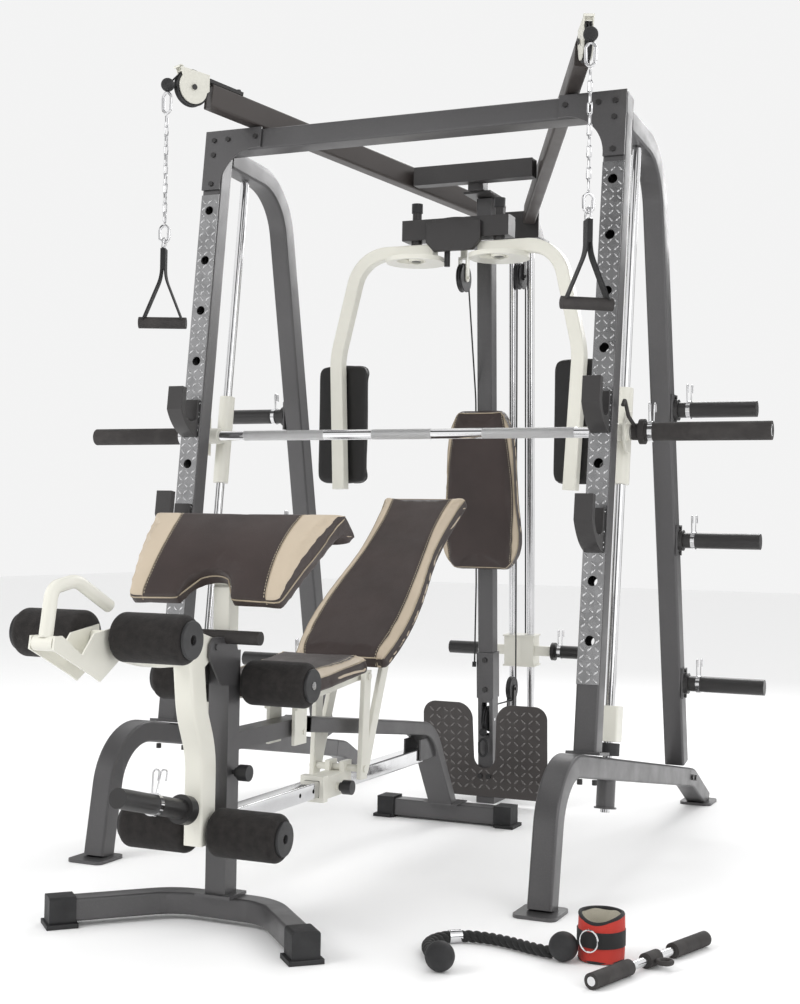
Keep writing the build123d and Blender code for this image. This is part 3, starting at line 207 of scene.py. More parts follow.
# ---- materials ----------------------------------------------------------------------------------------
def painted(name, color, rough=0.38, metal=0.0, flake=0.0, scuff=0.12):
    """Powder coat: orange peel, faint cloudiness, metal flake, and a few lighter scuffs."""
    made, tree, shader = new_material(name, rough, metal)
    cloud = spread(tree, grain(tree, 3.0, 4), 0.35, 0.65)
    base = blend_color(tree, cloud, tint(color, 0.96), tint(color, 1.04))
    if flake:
        speck = spread(tree, grain(tree, 900.0, 1), 0.58, 0.66, 0.0, flake)
        base = blend_color(tree, speck, base, tint(color, 2.2))
    scuffs = spread(tree, grain(tree, 26.0, 8, 0.7, stretch=(1, 1, 4)), 0.66, 0.74, 0.0, scuff)
    base = blend_color(tree, scuffs, base, tint(color, 2.5))
    tree.links.new(base, shader.inputs["Base Color"])
    rough_between(tree, shader, 14.0, 4, 0.3, 0.7, rough - 0.06, rough + 0.08)
    shader.inputs["Coat Weight"].default_value = 0.25
    shader.inputs["Coat Roughness"].default_value = 0.25
    bump(tree, shader, grain(tree, 420.0, 2), 0.12, 0.0004)
    return made


def plated(name, color=(0.74, 0.74, 0.75), rough=0.09, brushed=0.0):
    """Chrome or brushed plate: smudged gloss and, when brushed, fine lines along X."""
    made, tree, shader = new_material(name, rough, 1.0)
    haze = spread(tree, grain(tree, 11.0, 5), 0.35, 0.7)
    tree.links.new(blend_color(tree, haze, color, tint(color, 0.9)), shader.inputs["Base Color"])
    rough_between(tree, shader, 24.0, 6, 0.35, 0.75, rough * 0.7, rough * 2.0)
    if brushed:
        bump(tree, shader, grain(tree, 90.0, 2, stretch=(1, 24, 24)), brushed, 0.0003)
    return made


def knurled(name, bands):
    """Chrome bar with diamond knurling between given distances from its middle."""
    made, tree, shader = new_material(name, 0.12, 1.0)
    coordinates = add(tree, "ShaderNodeSeparateXYZ", Vector=place(tree))
    x, y, z = (coordinates.outputs[i] for i in range(3))
    reach = math(tree, "ABSOLUTE", x)
    inside = None
    for start, end in bands:
        past, short = math(tree, "GREATER_THAN", reach, start), math(tree, "LESS_THAN", reach, end)
        band = math(tree, "MULTIPLY", past, short)
        inside = band if inside is None else math(tree, "ADD", inside, band)
    axis = spot(0, BAR_Y, BAR_Z)
    angle = math(tree, "ARCTAN2", math(tree, "SUBTRACT", z, axis.z), math(tree, "SUBTRACT", y, axis.y))
    turns = math(tree, "MULTIPLY", angle, 22.0)
    along = math(tree, "MULTIPLY", x, 1500.0)
    one = math(tree, "SINE", math(tree, "ADD", along, turns))
    two = math(tree, "SINE", math(tree, "SUBTRACT", along, turns))
    teeth = math(tree, "MULTIPLY", math(tree, "MULTIPLY", one, two), inside)
    color = blend_color(tree, math(tree, "MULTIPLY", inside, 0.75), (0.82, 0.82, 0.83), (0.62, 0.62, 0.62))
    tree.links.new(color, shader.inputs["Base Color"])
    tree.links.new(spread(tree, inside, 0, 1, 0.1, 0.36), shader.inputs["Roughness"])
    bump(tree, shader, teeth, 0.7, 0.0006)
    return made


def moulded(name, color, rough=0.5, fine=260.0, strength=0.25):
    """Moulded plastic or rubber: fine sandblasted grain and a dusty sheen."""
    made, tree, shader = new_material(name, rough)
    dust = spread(tree, grain(tree, 20.0, 5), 0.45, 0.7)
    tree.links.new(blend_color(tree, dust, color, tint(color, 1.5)), shader.inputs["Base Color"])
    rough_between(tree, shader, 30.0, 4, 0.3, 0.7, rough - 0.08, rough + 0.1)
    bump(tree, shader, grain(tree, fine, 3), strength, 0.0005)
    return made


def foamed(name, color):
    """Closed-cell foam: matt, with fine open pores and slight mottling."""
    made, tree, shader = new_material(name, 0.95)
    pores = add(tree, "ShaderNodeTexVoronoi", Vector=place(tree), Scale=420.0).outputs["Distance"]
    mottle = spread(tree, grain(tree, 60.0, 5), 0.35, 0.7)
    tree.links.new(blend_color(tree, mottle, color, tint(color, 2.0)), shader.inputs["Base Color"])
    shader.inputs["Sheen Weight"].default_value = 0.06
    shader.inputs["Sheen Roughness"].default_value = 0.5
    height = math(tree, "ADD", pores, math(tree, "MULTIPLY", grain(tree, 150.0, 4), 0.8))
    bump(tree, shader, height, 0.5, 0.0012)
    return made


def woven(name, color):
    """Woven nylon: crossing ribs with a little fuzz."""
    made, tree, shader = new_material(name, 0.85)
    ribs = []
    for direction in ("X", "Z"):
        wave = add(tree, "ShaderNodeTexWave", Vector=place(tree), Scale=230.0, Distortion=0.6, Detail=1.0)
        wave.bands_direction = direction
        ribs.append(wave.outputs["Fac"])
    weave = math(tree, "MULTIPLY", ribs[0], ribs[1])
    # The weave's dips are painted darker and its raised crossings lighter: painted shade and painted
    # highlight.
    tree.links.new(blend_color(tree, weave, tint(color, 0.6), tint(color, 1.35)), shader.inputs["Base Color"])
    shader.inputs["Sheen Weight"].default_value = 0.1
    bump(tree, shader, math(tree, "ADD", weave, math(tree, "MULTIPLY", grain(tree, 700.0), 0.3)), 0.5, 0.0008)
    return made


BROWN, TAN = (0.034, 0.023, 0.021), (0.50, 0.42, 0.32)


def vinyl(name, panel=None, color=BROWN):
    """Grained vinyl, with tan side bands laid out by a panel when there is one."""
    made, tree, shader = new_material(name, 0.42)
    cells = add(tree, "ShaderNodeTexVoronoi", Vector=place(tree), Scale=330.0)
    cells.feature = "DISTANCE_TO_EDGE"
    creases = spread(tree, cells.outputs["Distance"], 0.0, 0.22)
    cloud = spread(tree, grain(tree, 7.0, 5), 0.3, 0.7)
    dark = blend_color(tree, cloud, tint(color, 0.85), tint(color, 1.2))
    if panel:
        light = blend_color(tree, cloud, tint(TAN, 0.94), tint(TAN, 1.05))
        skin = blend_color(tree, panel.mask(tree), dark, light)
    else:
        # The grain's creases are painted darker than its cells: painted shade in the creases.
        skin = blend_color(tree, math(tree, "MULTIPLY", creases, 0.35), tint(color, 0.5), dark)
    tree.links.new(skin, shader.inputs["Base Color"])
    rough_between(tree, shader, 18.0, 5, 0.3, 0.7, 0.36, 0.5)
    shader.inputs["Sheen Weight"].default_value = 0.03
    height = math(tree, "ADD", creases, math(tree, "MULTIPLY", grain(tree, 40.0, 4), 0.6))
    bump(tree, shader, height, 0.3, 0.0006)
    return made


BAND_BLUR = 0.0004                 # half the width over which brown turns to tan


class Panel:
    """A pad's face: its origin, the direction up it, its outward normal, and the tan bands on both sides.

    A band starts at a + b v + c v**2 + d v**3 from the middle, v metres up the pad, and is width wide. The
    rim's piping lies depth behind the face."""

    def __init__(self, origin, along, out, curve, width=1.0, depth=0.014):
        self.origin = Vector(origin)
        self.along, self.out = Vector(along).normalized(), Vector(out).normalized()
        self.curve, self.width, self.depth = curve, width, depth

    def inner(self, v):
        return sum(term * v ** power for power, term in enumerate(self.curve))

    def point(self, x, v, lift=0.0):
        return self.origin + Vector((x, 0, 0)) + self.along * v + self.out * lift

    def mask(self, tree):
        """1 on the bands of the face and 0 elsewhere."""
        offset = add(tree, "ShaderNodeVectorMath", _0=place(tree), _1=self.origin)
        offset.operation = "SUBTRACT"
        facing = tree.nodes.new("ShaderNodeTexCoord").outputs["Normal"]
        found = []
        for vector, direction in ((offset.outputs["Vector"], self.along), (facing, self.out)):
            dot = add(tree, "ShaderNodeVectorMath", _0=vector, _1=direction)
            dot.operation = "DOT_PRODUCT"
            found.append(dot.outputs["Value"])
        up, face = found
        across = math(tree, "ABSOLUTE", add(tree, "ShaderNodeSeparateXYZ", Vector=place(tree)).outputs[0])
        edge = self.curve[-1]
        for term in reversed(self.curve[:-1]):
            edge = math(tree, "ADD", math(tree, "MULTIPLY", edge, up), term)
        past = math(tree, "SUBTRACT", across, edge)
        inside = spread(tree, past, -BAND_BLUR, BAND_BLUR)
        short = spread(tree, past, self.width - BAND_BLUR, self.width + BAND_BLUR, 1.0, 0.0)
        front = spread(tree, face, 0.38, 0.42)
        return math(tree, "MULTIPLY", math(tree, "MULTIPLY", inside, short), front)


# ---- mesh building blocks -----------------------------------------------------------------------------
def new_object(name, mesh):
    made = bpy.data.objects.new(name, mesh)
    scene.collection.objects.link(made)
    return made


def finished(piece, body, slot, *nodes):
    """Hang a piece on its body and hide the CAD nodes that it stands in for."""
    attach(piece, body)
    if nodes:
        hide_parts(*nodes)
    return piece


def smooth_edges(mesh, degrees=32):
    mesh.shade_smooth()
    mesh.set_sharp_from_angle(angle=radians(degrees))


def islands(bm):
    """The connected pieces of a mesh, as lists of faces."""
    seen, found = set(), []
    for first in bm.faces:
        if first in seen:
            continue
        seen.add(first)
        stack, piece = [first], []
        while stack:
            face = stack.pop()
            piece.append(face)
            for edge in face.edges:
                for other in edge.link_faces:
                    if other not in seen:
                        seen.add(other)
                        stack.append(other)
        found.append(piece)
    return found


def dress(node, slot, looks, bevel=0.0012):
    """Stand in for a CAD node with a copy whose edges are broken, and give its solids their materials.

    looks is a list of (material, test). A test gets a solid's lowest and highest corner and a face's middle,
    and a material with no test takes what is left."""
    mesh = frame["nodes"][node].data.copy()
    mesh.materials.clear()
    for look, _ in looks:
        mesh.materials.append(look)
    bm = bmesh.new()
    bm.from_mesh(mesh)
    bmesh.ops.remove_doubles(bm, verts=bm.verts, dist=2e-6)
    bmesh.ops.dissolve_limit(bm, angle_limit=radians(0.4), verts=bm.verts, edges=bm.edges)
    for piece in islands(bm):
        corners = [vert.co for face in piece for vert in face.verts]
        low = Vector([min(corner[i] for corner in corners) for i in range(3)])
        high = Vector([max(corner[i] for corner in corners) for i in range(3)])
        for face in piece:
            middle = face.calc_center_median()
            face.material_index = next(i for i, (_, test) in enumerate(looks)
                                       if test is None or test(low, high, middle))
    bm.to_mesh(mesh)
    bm.free()
    smooth_edges(mesh)
    piece = new_object(f"{node}_finished", mesh)
    if bevel:
        modifier = piece.modifiers.new("edges", "BEVEL")
        modifier.width, modifier.segments, modifier.limit_method = bevel, 2, "ANGLE"
        modifier.angle_limit, modifier.use_clamp_overlap = radians(38), True
        modifier.harden_normals = True
    return finished(piece, body_of_node(node), slot, node)


def tube(bm, path, radius, sides=10, closed=False):
    """A round tube along a path of points, added to a bmesh."""
    path = [Vector(point) for point in path]
    count = len(path)
    rings, side = [], None
    for i, point in enumerate(path):
        before = path[i - 1] if i or closed else point
        after = path[(i + 1) % count] if i < count - 1 or closed else point
        heading = (after - before).normalized()
        if side is None:
            side = heading.orthogonal().normalized()
        side = (side - heading * side.dot(heading)).normalized()
        other = heading.cross(side)
        turns = [2 * pi * k / sides for k in range(sides)]
        rings.append([bm.verts.new(point + (side * cos(turn) + other * sin(turn)) * radius)
                      for turn in turns])
    pairs = list(zip(rings, rings[1:] + rings[:1])) if closed else list(zip(rings, rings[1:]))
    for low, high in pairs:
        for k in range(sides):
            bm.faces.new((low[k], low[(k + 1) % sides], high[(k + 1) % sides], high[k]))
    if not closed:
        bm.faces.new(list(reversed(rings[0])))
        bm.faces.new(rings[-1])


def from_bmesh(name, bm, *materials):
    mesh = bpy.data.meshes.new(name)
    bmesh.ops.recalc_face_normals(bm, faces=bm.faces)
    bm.to_mesh(mesh)
    bm.free()
    for material in materials:
        mesh.materials.append(material)
    smooth_edges(mesh, 40)
    return new_object(name, mesh)


def spline_points(points, resolution=10):
    """Points along the smooth line whose control points are given."""
    curve = bpy.data.curves.new("route", "CURVE")
    curve.dimensions, curve.resolution_u = "3D", resolution
    line = curve.splines.new("NURBS")
    line.points.add(len(points) - 1)
    for slot_point, point in zip(line.points, points):
        slot_point.co = (*point, 1)
    line.order_u, line.use_endpoint_u = 3, True
    holder = new_object("route", curve)
    bpy.context.view_layer.update()
    mesh = bpy.data.meshes.new_from_object(holder.evaluated_get(bpy.context.evaluated_depsgraph_get()))
    found = [vert.co.copy() for vert in mesh.vertices]
    bpy.data.objects.remove(holder)
    return found


def walk(path, step, start=0.0):
    """Places every step along a path, with their headings."""
    done, target = 0.0, start
    for here, there in zip(path, path[1:]):
        run = (there - here).length
        while target <= done + run:
            yield here.lerp(there, (target - done) / run), (there - here).normalized()
            target += step
        done += run


def length_of(path):
    return sum((there - here).length for here, there in zip(path, path[1:]))


# ---- soft pads ----------------------------------------------------------------------------------------
def settle(mesh, rest, cap):
    """Keep every point of a mesh within cap of where it was."""
    for vert, home in zip(mesh.vertices, rest):
        move = vert.co - home
        if move.length > cap:
            vert.co = home + move * (cap / move.length)


SWELL = 0.007                      # how far the stuffing may push a pad's skin
VOXEL = 0.006                      # mesh size of a pad's skin
BOARD = 0.010                      # skin this close to a pad's back is stapled to its board
GROOVE, GROOVE_HALF = 0.0016, 0.009    # depth and half width of the dip along a band's seam


def cushion(name, node, look, panel):
    """A stuffed pad: its CAD solid remeshed, drawn in, and blown up as cloth with its back held."""
    pad = new_object(name, frame["nodes"][node].data.copy())
    remesh = pad.modifiers.new("skin", "REMESH")
    remesh.mode, remesh.voxel_size = "VOXEL", VOXEL
    ease = pad.modifiers.new("ease", "SMOOTH")
    ease.factor, ease.iterations = 0.5, 14
    bpy.context.view_layer.update()
    mesh = bpy.data.meshes.new_from_object(pad.evaluated_get(bpy.context.evaluated_depsgraph_get()))
    pad.modifiers.clear()
    pad.data = mesh
    back = min((vert.co - panel.origin).dot(panel.out) for vert in mesh.vertices)
    normals = [vert.normal.copy() for vert in mesh.vertices]
    held = []
    for vert, normal in zip(mesh.vertices, normals):
        behind = (vert.co - panel.origin).dot(panel.out) - back
        vert.co -= normal * SWELL * 0.75
        if behind < BOARD and normal.dot(panel.out) < -0.6:
            held.append(vert.index)
    rest = [vert.co.copy() for vert in mesh.vertices]
    pad.vertex_groups.new(name="board").add(held, 1.0, "REPLACE")
    cloth = pad.modifiers.new("stuffing", "CLOTH")
    cloth.settings.use_pressure, cloth.settings.uniform_pressure_force = True, 4.0
    cloth.settings.effector_weights.gravity = 0.0
    cloth.settings.tension_stiffness = cloth.settings.compression_stiffness = 14.0
    cloth.settings.vertex_group_mass = "board"
    cloth.point_cache.frame_start, cloth.point_cache.frame_end = 1, 20
    for step in range(1, 21):
        scene.frame_set(step)
    mesh = bpy.data.meshes.new_from_object(pad.evaluated_get(bpy.context.evaluated_depsgraph_get()))
    pad.modifiers.clear()
    pad.vertex_groups.clear()
    pad.data = mesh
    scene.frame_set(1)
    settle(mesh, rest, SWELL)
    for vert in mesh.vertices:
        offset = vert.co - panel.origin
        reach = abs(offset.x) - panel.inner(offset.dot(panel.along))
        if offset.dot(panel.out) > -panel.depth and abs(reach) < GROOVE_HALF:
            vert.co -= vert.normal * GROOVE * (1 - abs(reach) / GROOVE_HALF)
    mesh.materials.clear()
    mesh.materials.append(look)
    mesh.shade_smooth()
    finer = pad.modifiers.new("smooth", "SUBSURF")
    finer.levels = finer.render_levels = 1
    return finished(pad, body_of_node(node), "upholstery", node)


def surface_of(pad):
    bm = bmesh.new()
    bm.from_mesh(pad.data)
    tree = BVHTree.FromBMesh(bm)
    bm.free()
    return tree


PIPING_R, RIM_R, THREAD_R = 0.0013, 0.0018, 0.0006
STITCH, STITCH_HALF = 0.0075, 0.0022   # from one stitch to the next, and half a stitch's length
STITCH_INSET = 0.0045                  # from the piping to its row of stitches
SEAM_STEP = 0.006                      # between the points where a seam finds the skin


def rim_ring(skin, middle, up, rays):
    """Points round a pad's side, where rays that come in towards its middle meet its skin."""
    ring = []
    for i in range(rays):
        angle = 2 * pi * i / rays
        ray = Vector((1, 0, 0)) * cos(angle) + up * sin(angle)
        hit = skin.ray_cast(middle + ray * 0.9, -ray)
        if hit[0] is not None:
            ring.append(hit[0] + ray * 0.0004)
    return ring


def seams(name, pad, panel, span, body, piping, thread):
    """Raised piping along both band edges and round the rim, with a row of stitches beside each band edge."""
    skin = surface_of(pad)
    cords, stitches = bmesh.new(), bmesh.new()
    low, high = span
    for side in SIDES:
        for shift, target in ((0.0, cords), (-STITCH_INSET, stitches)):
            path = []
            count = int((high - low) / SEAM_STEP)
            for i in range(count + 1):
                v = low + (high - low) * i / count
                hit = skin.ray_cast(panel.point(side * (panel.inner(v) + shift), v, 0.05), -panel.out)
                if hit[0] is not None:
                    path.append(hit[0] + panel.out * 0.0002)
            if target is cords:
                tube(cords, path, PIPING_R, 6)
                continue
            for middle, heading in walk(path, STITCH, 0.002):
                half = heading * STITCH_HALF
                tube(stitches, [middle - half, middle + panel.out * 0.0005, middle + half], THREAD_R, 5)
    inside = panel.point(0, (low + high) / 2, -panel.depth)
    tube(cords, rim_ring(skin, inside, panel.along, 180), RIM_R, 6, closed=True)
    finished(from_bmesh(f"{name}_piping", cords, piping), body, "upholstery")
    finished(from_bmesh(f"{name}_stitching", stitches, thread), body, "upholstery")


def slope_panel(origin, degrees, curve, **more):
    """A panel whose face climbs to the rear at so many degrees."""
    turn = radians(degrees)
    return Panel(origin, (0, cos(turn), sin(turn)), (0, -sin(turn), cos(turn)), curve, **more)


def make_pads(piping, thread, black):
    out = Vector((0, -cos(POST_LEAN), -sin(POST_LEAN)))
    up = Vector((0, -sin(POST_LEAN), cos(POST_LEAN)))
    backrest = slope_panel(spot(0, 58.4, 546.8), 37.2, (0.100, 0.2216, -0.9043, 0.8274))
    seat = slope_panel(spot(0, -195.5, 543.7), 5.6, (0.098, 0.06, -0.3))
    preacher = slope_panel(spot(0, -510.5, 830), 42.6, (0.148, 0.030, 0.5), depth=0.030)
    rear = Panel(spot(0, POST_FACE_Y, 0) + out * 0.056, up, out, (-0.199, 0.67, -0.36), width=0.017)
    sets = (("backrest_cover", "backrest_pad", backrest, (0.004, 0.706)),
            ("seat_cover", "seat_pad", seat, (-0.186, 0.184)),
            ("preacher_cover", "preacher_pad", preacher, (-0.143, 0.128)),
            ("back_cover", "back_pad", rear, (0.750, 1.246)))
    for name, node, panel, span in sets:
        pad = cushion(name, node, vinyl(f"{name}_vinyl", panel), panel)
        seams(name, pad, panel, span, body_of_node(node), piping, thread)
    for hand in ("right", "left"):
        low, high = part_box(f"pec_pad_{hand}")
        middle = (low + high) / 2
        panel = Panel((middle.x, high.y, middle.z), (0, 0, 1), (0, 1, 0), (0.5,), depth=0.024)
        pad = cushion(f"pec_cover_{hand}", f"pec_pad_{hand}", black, panel)
        bm = bmesh.new()
        ring = rim_ring(surface_of(pad), Vector((middle.x, low.y + 0.026, middle.z)), Vector((0, 0, 1)), 120)
        tube(bm, ring, RIM_R, 6, closed=True)
        finished(from_bmesh(f"pec_cover_{hand}_piping", bm, black), f"pec_{hand}", "upholstery")


# ---- tread plate --------------------------------------------------------------------------------------
def treads(name, node, slot, origin, up, out, across, along, pitch, size, look):
    """Raised lozenges, turned one way and the other in turn, wherever a plate has room for them."""
    source = frame["nodes"][node].data
    bm = bmesh.new()
    bm.from_mesh(source)
    skin = BVHTree.FromBMesh(bm)
    bm.free()
    right = Vector((1, 0, 0))
    bm = bmesh.new()
    long, wide, tall = size
    rows, columns = int((along[1] - along[0]) / pitch), int((across[1] - across[0]) / pitch)
    for row in range(rows + 1):
        for column in range(columns + 1):
            x, v = across[0] + column * pitch, along[0] + row * pitch
            centre = origin + right * x + up * v
            turn = pi / 4 if (row + column) % 2 else -pi / 4
            one = right * cos(turn) + up * sin(turn)
            two = up * cos(turn) - right * sin(turn)
            hits = []
            for share, edge in ((1.25, 0), (-1.25, 0), (0, 1.8), (0, -1.8)):
                probe = centre + one * long / 2 * share + two * wide / 2 * edge
                hit = skin.ray_cast(probe + out * 0.012, -out, 0.016)
                hits.append(hit[0] is not None and hit[1].dot(out) > 0.9)
            if not all(hits):
                continue
            base = skin.ray_cast(centre + out * 0.012, -out, 0.016)[0]
            if base is None:
                continue
            rings = []
            for scale, lift in ((1.0, -0.0002), (0.82, tall * 0.7), (0.5, tall)):
                ring = []
                for k in range(8):
                    angle = 2 * pi * k / 8
                    point = one * cos(angle) * long / 2 * scale + two * sin(angle) * wide / 2 * scale
                    ring.append(bm.verts.new(base + point + out * lift))
                rings.append(ring)
            for lower, upper in zip(rings, rings[1:]):
                for k in range(8):
                    bm.faces.new((lower[k], lower[(k + 1) % 8], upper[(k + 1) % 8], upper[k]))
            bm.faces.new(rings[-1])
            bm.faces.new(list(reversed(rings[0])))
    finished(from_bmesh(name, bm, look), body_of_node(node), slot)


# ---- cords --------------------------------------------------------------------------------------------
CHAIN_X, CHAIN_Y, CHAIN_TOP, CHAIN_FOOT = 611, 173, 2008, 1712
LINK_PITCH, LINK_WIRE, LINK_HALF = 0.0269, 0.0021, 0.0054


def make_chain(hand, side, look):
    """Welded links, each a quarter turn from the last, down the cord's route."""
    route = [spot(side * CHAIN_X, CHAIN_Y, z) for z in (CHAIN_TOP, 1910, 1810, CHAIN_FOOT)]
    path = spline_points(route)
    bm = bmesh.new()
    for number, (middle, heading) in enumerate(walk(path, LINK_PITCH, LINK_PITCH / 2)):
        flat = Vector((1, 0, 0)) if number % 2 else Vector((0, 1, 0))
        reach = LINK_PITCH / 2 + LINK_WIRE - LINK_HALF
        loop = []
        for k in range(16):
            angle = 2 * pi * k / 16
            end = reach if sin(angle) > 0 else -reach
            loop.append(middle + flat * cos(angle) * LINK_HALF + heading * (end + sin(angle) * LINK_HALF))
        tube(bm, loop, LINK_WIRE, 8, closed=True)
    node = f"chain_{hand}"
    chain = finished(from_bmesh(f"chain_links_{hand}", bm, look), body_of_node(node), "chrome", node)
    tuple(route[0])
    length_of(path)


ROPE = [(556, -592), (515, -545), (488, -489), (494, -432), (537, -395), (596, -391), (653, -405),
        (704, -427), (742, -433)]
ROPE_Z, ROPE_TWIST = 14, 0.052         # height of its middle, and the length of one strand's full turn
STRAND_OFF, STRAND_R, STRAND_STEP = 0.0061, 0.0066, 0.0025


def make_rope(look, ends):
    """Three strands laid together along the rope's route."""
    path = spline_points([spot(x, y, ROPE_Z) for x, y in ROPE], 14)
    total = length_of(path)
    dense = [point for point, _ in walk(path, STRAND_STEP)]
    bm = bmesh.new()
    for strand in range(3):
        line, side = [], Vector((0, 0, 1))
        for i, point in enumerate(dense):
            heading = (dense[min(i + 1, len(dense) - 1)] - dense[max(i - 1, 0)]).normalized()
            side = (side - heading * side.dot(heading)).normalized()
            other = heading.cross(side)
            angle = 2 * pi * (strand / 3 + i * STRAND_STEP / ROPE_TWIST)
            line.append(point + (side * cos(angle) + other * sin(angle)) * STRAND_OFF)
        tube(bm, line, STRAND_R, 12)
    rope = finished(from_bmesh("rope_strands", bm, look), "loose_rope", "rope_black", "rope")
    spot(*ROPE[0], ROPE_Z)


# ---- small pieces -------------------------------------------------------------------------------------
CUFF_R, CUFF_TALL, CUFF_DIP = 0.0435, 0.092, 0.014     # radius, height, and how far its top dips at the front
CUFF_FOOT, BINDING_R = 0.002, 0.0042   # its lowest edge, and the bound edges' radius
CUFF_TURNS = [2 * pi * k / 96 for k in range(96)]


def round_about(centre, turn, radius, z=0.0):
    return centre + Vector((cos(turn), sin(turn), 0)) * radius + Vector((0, 0, z))


def bridge(bm, lower, upper):
    """Faces between two rings of as many vertices."""
    count = len(lower)
    return [bm.faces.new((lower[k], lower[(k + 1) % count], upper[(k + 1) % count], upper[k]))
            for k in range(count)]


def make_ankle_strap(red, lining, webbing, steel):
    """An upright padded cuff with bound edges, a strap round its middle, and a steel ring on the front."""
    centre = spot(830, -384, 0)
    bm = bmesh.new()
    dips = [CUFF_DIP * max(0.0, -sin(turn)) ** 2 for turn in CUFF_TURNS]
    skins = []
    for layer, off in enumerate((0.0035, -0.0035)):
        rows = []
        for row in range(13):
            ring = []
            for turn, dip in zip(CUFF_TURNS, dips):
                z = CUFF_FOOT + (CUFF_TALL - dip) * row / 12
                belly = 0.0012 * sin(pi * row / 12) + 0.0006 * sin(5 * turn)
                ring.append(bm.verts.new(round_about(centre, turn, CUFF_R + off + belly, z)))
            rows.append(ring)
        for lower, upper in zip(rows, rows[1:]):
            for face in bridge(bm, lower, upper):
                face.material_index = layer
        skins.append(rows)
    for row in (0, -1):
        bridge(bm, skins[0][row], skins[1][row])
    cuff = finished(from_bmesh("ankle_cuff", bm, red, lining), "loose_strap", "red_nylon", "ankle_strap")
    trim = bmesh.new()
    bottom_edge = [round_about(centre, turn, CUFF_R, BINDING_R) for turn in CUFF_TURNS]
    top_edge = [round_about(centre, turn, CUFF_R, CUFF_FOOT + (CUFF_TALL - dip))
                for turn, dip in zip(CUFF_TURNS, dips)]
    for edge in (bottom_edge, top_edge):
        tube(trim, edge, BINDING_R, 8, closed=True)
    band = [[trim.verts.new(round_about(centre, turn, CUFF_R + off, z)) for turn in CUFF_TURNS]
            for z in (0.032, 0.064) for off in (0.0040, 0.0064)]
    for one, two in ((0, 1), (1, 3), (3, 2), (2, 0)):
        bridge(trim, band[one], band[two])
    finished(from_bmesh("ankle_binding", trim, webbing), "loose_strap", "webbing")
    ring = bmesh.new()
    front = centre + Vector((-0.010, -CUFF_R - 0.009, 0.048))
    turns = [2 * pi * k / 24 for k in range(24)]
    tube(ring, [front + Vector((0.019 * cos(turn), -0.003, 0.022 * sin(turn))) for turn in turns], 0.0018, 8,
         closed=True)
    finished(from_bmesh("ankle_ring", ring, steel), "loose_strap", "chrome")


# ---- dressing the frame -------------------------------------------------------------------------------
def whole(look):
    return [(look, None)]


